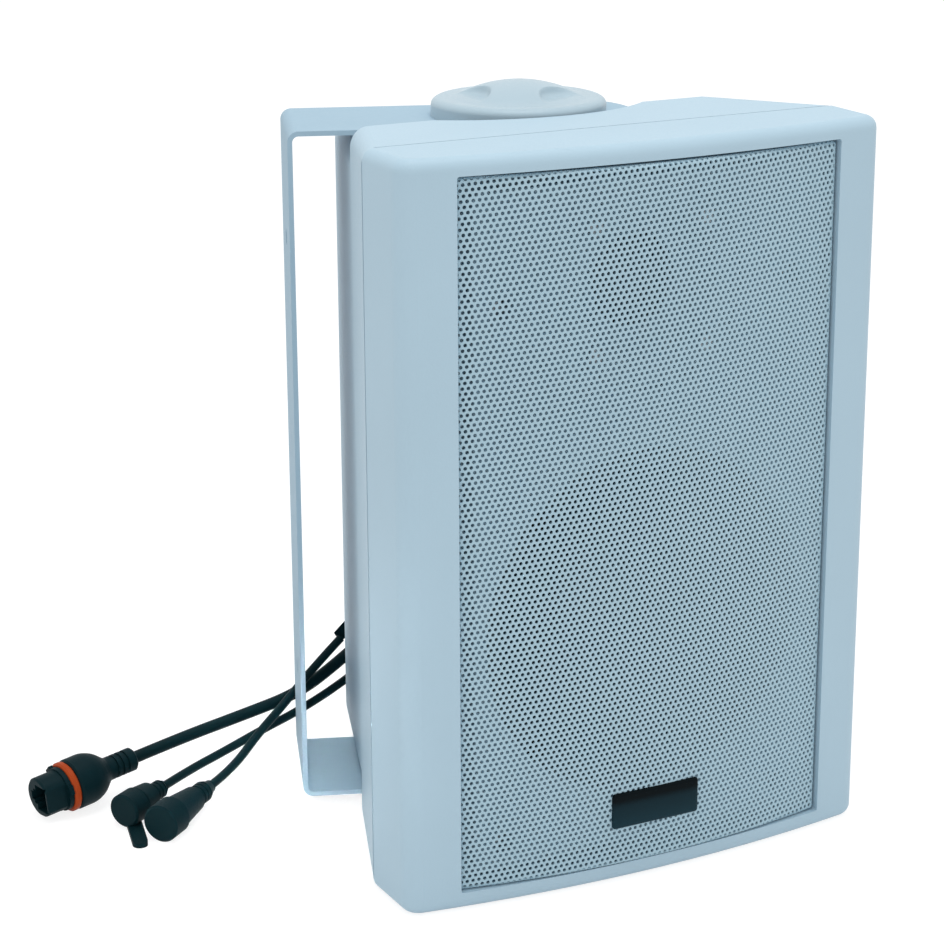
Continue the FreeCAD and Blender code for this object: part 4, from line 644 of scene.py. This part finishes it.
# Steepness of a scoop's wall above its hollow, and the soft bands at the dome's foot and a scoop's edge.
SCOOP_DRAFT = 4.0
DOME_BLEND = 1.6 * MM
SCOOP_BLEND = 0.9 * MM

# Points round the knob, rings over its top and over its rounded edge, and radius of the flat in its middle.
KNOB_POINTS = 240
KNOB_RINGS = 96
KNOB_EDGE_RINGS = 12
KNOB_FLAT = 1 * MM


def knob_height(x, y):
    """Height of the knob's top over its foot: a ball-shaped dome blended into a flat shoulder, scoops with
    a flat floor and a hollow that rises to a steep round wall, and an elliptic rounding down to the rim."""
    sizes = settings().knob
    low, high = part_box("top_knob")
    radius = (high[0] - low[0]) / 2
    top = high[2] - low[2]
    r = np.hypot(x, y)
    dome = top - r ** 2 / (2 * sizes.dome)
    height = -smooth_low(-dome, np.full_like(r, -sizes.shoulder), DOME_BLEND)
    hollow = sizes.scoop_hollow
    for turn in sizes.scoop_turn + TURN / sizes.scoops * np.arange(sizes.scoops):
        off = np.hypot(x - sizes.scoop_place * math.cos(turn), y - sizes.scoop_place * math.sin(turn))
        into = np.clip(off - sizes.scoop_radius + hollow, 0, hollow)
        wall = hollow - np.sqrt(hollow ** 2 - into ** 2)
        wall += SCOOP_DRAFT * np.maximum(off - sizes.scoop_radius, 0)
        height = smooth_low(height, sizes.scoop_floor + wall, SCOOP_BLEND)
    inset = np.clip((r - radius + sizes.rounding) / sizes.rounding, 0, 1)
    edge = sizes.rim + (height - sizes.rim) * np.sqrt(1 - inset ** 2)
    return np.where(inset > 0, edge, np.minimum(height, top))


class SPEAKER_OT_knob(bpy.types.Operator):
    """Build the moulded clamping knob"""

    bl_idname = "speaker.knob"
    bl_label = "Knob"

    def execute(self, context):
        sizes = settings().knob
        low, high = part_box("top_knob")
        radius = (high[0] - low[0]) / 2
        middle_x = (low[0] + high[0]) / 2
        middle_y = (low[1] + high[1]) / 2
        # Rings round the axis, each at the height that knob_height gives, and a plain foot.
        theta = TURN / KNOB_POINTS * np.arange(KNOB_POINTS)
        flat = np.linspace(KNOB_FLAT, radius - sizes.rounding, KNOB_RINGS)
        quarter = np.linspace(0, TURN / 4, KNOB_EDGE_RINGS)[1:]
        bend = radius - sizes.rounding + sizes.rounding * np.sin(quarter)
        r = np.concatenate([flat, bend])[::-1]
        x = r[:, None] * np.cos(theta)
        y = r[:, None] * np.sin(theta)
        z = low[2] + knob_height(x, y)
        foot = np.stack([radius * np.cos(theta), radius * np.sin(theta), np.full_like(theta, low[2])], -1)
        loops = np.concatenate([foot[None], np.stack([x, y, z], -1)])
        loops += np.array([middle_x, middle_y, 0.0])
        faces = loft_faces(len(loops), KNOB_POINTS, True, True)
        piece = mesh_piece("knob_moulding", loops.reshape(-1, 3), faces, "knob_plastic", "knob", SOFT_SMOOTH)
        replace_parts(piece, "top_knob")
        return {"FINISHED"}


# Loops of the badge's dome from its foot to its middle: inset from the outline and rise over the sheet.
BADGE_INSET = np.array([0, 0, 0.1, 0.3, 0.6, 0.85, 1.2, 3.0, 5.0, 6.8])[:, None] * MM
BADGE_RISE = np.array([0.1, 0.7, 0.95, 1.2, 1.5, 1.6, 1.65, 1.73, 1.77, 1.78])[:, None] * MM

# Radius of the badge's corners, the least that the inner loops keep, points round a corner, and how far the
# sides stay inside the solid's.
BADGE_CORNER = 1.4 * MM
BADGE_LEAST_CORNER = 0.15 * MM
BADGE_CORNER_POINTS = 8
BADGE_INSIDE = 0.1 * MM


class SPEAKER_OT_badge(bpy.types.Operator):
    """Build the bare domed badge plate on the bow of the grille"""

    bl_idname = "speaker.badge"
    bl_label = "Badge"

    def execute(self, context):
        low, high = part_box("badge_plate")
        sheet = Sheet()
        half_x = (high[0] - low[0]) / 2 - BADGE_INSIDE
        half_z = (high[2] - low[2]) / 2
        turns, across, upward = rounded_corners(BADGE_CORNER_POINTS)
        corner = np.maximum(BADGE_CORNER - BADGE_INSET, BADGE_LEAST_CORNER)
        # Each loop is a rounded rectangle, laid on the bow of the sheet and raised by the dome.
        x = across * (half_x - BADGE_INSET - corner) + corner * np.cos(turns)
        z = upward * (half_z - BADGE_INSET - corner) + corner * np.sin(turns)
        face = sheet.bow - np.sqrt(sheet.bow ** 2 - x ** 2) + sheet.low[1]
        y = np.maximum(face - BADGE_RISE, low[1])
        loops = np.stack([x, y, z + (high[2] + low[2]) / 2], -1)
        faces = loft_faces(len(loops), loops.shape[1], True, True)
        piece = mesh_piece("badge_resin", loops.reshape(-1, 3), faces, "badge_gloss", "cabinet", SOFT_SMOOTH)
        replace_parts(piece, "badge_plate")
        return {"FINISHED"}


def cord_curve(name, route, diameter):
    """A round cord: a NURBS curve of order 3 with the route's points as its control points."""
    data = bpy.data.curves.new(name, "CURVE")
    data.dimensions = "3D"
    data.bevel_depth = diameter / 2
    data.bevel_resolution = 6
    data.resolution_u = 12
    data.use_fill_caps = True
    spline = data.splines.new("NURBS")
    spline.points.add(len(route) - 1)
    spline.points.foreach_set("co", np.column_stack([np.array(route), np.ones(len(route))]).ravel())
    spline.order_u = 3
    spline.use_endpoint_u = True
    return finish_piece(bpy.data.objects.new(name, data), "cord_jacket", "cabinet")


class SPEAKER_OT_cords(bpy.types.Operator):
    """Lay the three cords"""

    bl_idname = "speaker.cords"
    bl_label = "Cords"

    def execute(self, context):
        sizes = settings().cords
        # Each row gives a solid, the piece for it, its route, diameter and length, and what hangs on its end.
        rows = (
            (
                "ethernet_cord", "network_cord_jacket", ETHERNET_ROUTE, sizes.network, ETHERNET_LENGTH,
                ("network_socket", "socket_ring"),
            ),
            (
                "left_jack_cord", "left_cord_jacket", LEFT_JACK_ROUTE, sizes.jack, LEFT_JACK_LENGTH,
                ("left_jack", "left_jack_cap"),
            ),
            (
                "right_jack_cord", "right_cord_jacket", RIGHT_JACK_ROUTE, sizes.jack, RIGHT_JACK_LENGTH,
                ("right_jack", "right_jack_cap"),
            ),
        )
        for solid, name, route, diameter, run, ends in rows:
            piece = cord_curve(name, route, diameter)
            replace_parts(piece, solid)
        return {"FINISHED"}


# Width of the camera's sensor in millimetres, and half the floor's side in metres.
SENSOR_WIDTH = 36
FLOOR_HALF = 6.0

# Grey of the floor for light, its grey for the rays that see it, and its glow for those.
FLOOR_BOUNCE = 0.93
FLOOR_SEEN = 0.3
FLOOR_GLOW = 0.82

# Full angles of the lamps' cones, in degrees.
WIDE = 180
NARROW = 4

# A lamp that faces more steeply up or down than this takes its upright from Y.
STEEP = 0.9


def placed(right, up, back, place):
    """A matrix from three axes and a place."""
    columns = [np.array(column, dtype=float) for column in (right, up, back, place)]
    return Matrix([*np.column_stack(columns).tolist(), (0, 0, 0, 1)])


def seen_rays(tree):
    """A socket that is 1 for rays from the camera and for reflected or refracted ones, and 0 for light."""
    path = node(tree, "ShaderNodeLightPath", {}).outputs
    direct = node(
        tree, "ShaderNodeMath", {0: path["Is Camera Ray"], 1: path["Is Glossy Ray"]}, operation="MAXIMUM",
    )
    seen = node(
        tree, "ShaderNodeMath", {0: direct.outputs[0], 1: path["Is Transmission Ray"]}, operation="MAXIMUM",
    )
    return seen.outputs[0]


class SPEAKER_OT_stage(bpy.types.Operator):
    """Set up the camera, the floor and the studio light"""

    bl_idname = "speaker.stage"
    bl_label = "Stage"

    def execute(self, context):
        scene = context.scene
        scene.view_settings.view_transform = "Standard"
        self.camera(scene)
        self.floor(scene)
        self.world(scene)
        self.lamps(scene)
        return {"FINISHED"}

    def camera(self, scene):
        """A camera at the photograph's place and angle."""
        stage = settings().stage
        level = math.cos(stage.pitch)
        forward = np.array([
            math.sin(stage.yaw) * level, math.cos(stage.yaw) * level, -math.sin(stage.pitch),
        ])
        right = np.array([math.cos(stage.yaw), -math.sin(stage.yaw), 0.0])
        down = np.cross(forward, right)
        rolled_right = math.cos(stage.roll) * right + math.sin(stage.roll) * down
        rolled_down = math.cos(stage.roll) * down - math.sin(stage.roll) * right
        data = bpy.data.cameras.new("camera")
        data.lens = stage.lens
        data.sensor_width = SENSOR_WIDTH
        data.sensor_fit = "HORIZONTAL"
        eye = bpy.data.objects.new("camera", data)
        eye.matrix_world = placed(rolled_right, -rolled_down, -forward, stage.eye)
        scene.collection.objects.link(eye)
        scene.camera = eye

    def floor(self, scene):
        """A pale floor that shows white to the camera and keeps a soft shadow."""
        mesh = bpy.data.meshes.new("floor")
        corners = [(x * FLOOR_HALF, y * FLOOR_HALF, 0) for x, y in ((-1, -1), (1, -1), (1, 1), (-1, 1))]
        mesh.from_pydata(corners, [], [(0, 1, 2, 3)])
        floor = bpy.data.objects.new("floor", mesh)
        material, tree, output = new_material("White studio floor")
        seen = seen_rays(tree)
        grey = node(tree, "ShaderNodeMapRange", {"Value": seen, "To Min": FLOOR_BOUNCE, "To Max": FLOOR_SEEN})
        level = node(tree, "ShaderNodeMath", {0: seen, 1: FLOOR_GLOW}, operation="MULTIPLY")
        matt = node(tree, "ShaderNodeBsdfDiffuse", {"Color": grey.outputs["Result"]})
        glow = node(tree, "ShaderNodeEmission", {"Color": (1, 1, 1, 1), "Strength": level.outputs[0]})
        mix = node(tree, "ShaderNodeAddShader", {0: matt.outputs[0], 1: glow.outputs[0]})
        tree.links.new(mix.outputs[0], output.inputs["Surface"])
        mesh.materials.append(material)
        scene.collection.objects.link(floor)

    def world(self, scene):
        """White to the camera and to reflections, softer as light."""
        world = bpy.data.worlds.new("studio")
        world.use_nodes = True
        scene.world = world
        tree = world.node_tree
        tree.nodes.clear()
        output = tree.nodes.new("ShaderNodeOutputWorld")
        level = node(tree, "ShaderNodeMapRange", {
            "Value": seen_rays(tree), "To Min": settings().stage.ambient, "To Max": 1.0,
        })
        light = node(tree, "ShaderNodeBackground", {
            "Color": (1, 1, 1, 1), "Strength": level.outputs["Result"],
        })
        tree.links.new(light.outputs[0], output.inputs["Surface"])

    def lamps(self, scene):
        """A soft light overhead, weaker wide ones from the front left and the rear left, and a narrow one
        that reaches the bracket's lower arm past the strip and leaves no glints. Each row gives a lamp's
        place, the point that it faces, its size in metres, the full angle of its cone and its power."""
        stage = settings().stage
        rows = (
            ("overhead light", (0.0, 0.0, 1.5), (0.0, 0.05, 0.15), 0.7, WIDE, stage.overhead),
            ("front light", (-0.7, -1.75, 0.9), (0.0, 0.0, 0.15), 1.2, WIDE, stage.key),
            ("rear light", (-1.4, 1.5, 0.7), (0.0, 0.1, 0.15), 1.2, WIDE, stage.fill),
            ("arm light", (-0.55, -0.85, 0.82), (-0.106, 0.105, 0.0), 0.08, NARROW, stage.beam),
        )
        for name, place, aim, size, spread, watts in rows:
            data = bpy.data.lights.new(name, "AREA")
            data.energy = watts
            data.size = size
            data.spread = math.radians(spread)
            lamp = bpy.data.objects.new(name, data)
            lamp.visible_glossy = spread == WIDE
            back = np.array(place) - np.array(aim)
            back /= np.linalg.norm(back)
            upright = (0.0, 1.0, 0.0) if abs(back[2]) > STEEP else (0.0, 0.0, 1.0)
            side = np.cross(upright, back)
            side /= np.linalg.norm(side)
            up = np.cross(back, side)
            lamp.matrix_world = placed(side, up, back, place)
            scene.collection.objects.link(lamp)


class SPEAKER_PT_panel(bpy.types.Panel):
    """The speaker's steps in the sidebar"""

    bl_idname = "SPEAKER_PT_panel"
    bl_label = "Cabinet speaker"
    bl_space_type = "VIEW_3D"
    bl_region_type = "UI"
    bl_category = "Speaker"

    def draw(self, context):
        for step in STEPS:
            self.layout.operator(step.bl_idname)


STEPS = (
    SPEAKER_OT_finishes,
    SPEAKER_OT_stage,
    SPEAKER_OT_cords,
    SPEAKER_OT_grille,
    SPEAKER_OT_knob,
    SPEAKER_OT_badge,
)
GROUPS = (SpeakerColours, GrilleSizes, KnobSizes, CordSizes, StageSizes, SpeakerSettings)


def register():
    """Register the settings, the steps and the panel."""
    for kind in (*GROUPS, *STEPS, SPEAKER_PT_panel):
        bpy.utils.register_class(kind)
    bpy.types.Scene.speaker = PointerProperty(type=SpeakerSettings)


def unregister():
    """Take everything out again."""
    del bpy.types.Scene.speaker
    for kind in (SPEAKER_PT_panel, *reversed(STEPS), *reversed(GROUPS)):
        bpy.utils.unregister_class(kind)


def main():
    """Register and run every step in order."""
    register()
    for step in STEPS:
        group, name = step.bl_idname.split(".")
        getattr(getattr(bpy.ops, group), name)()


if __name__ == "__main__":
    main()
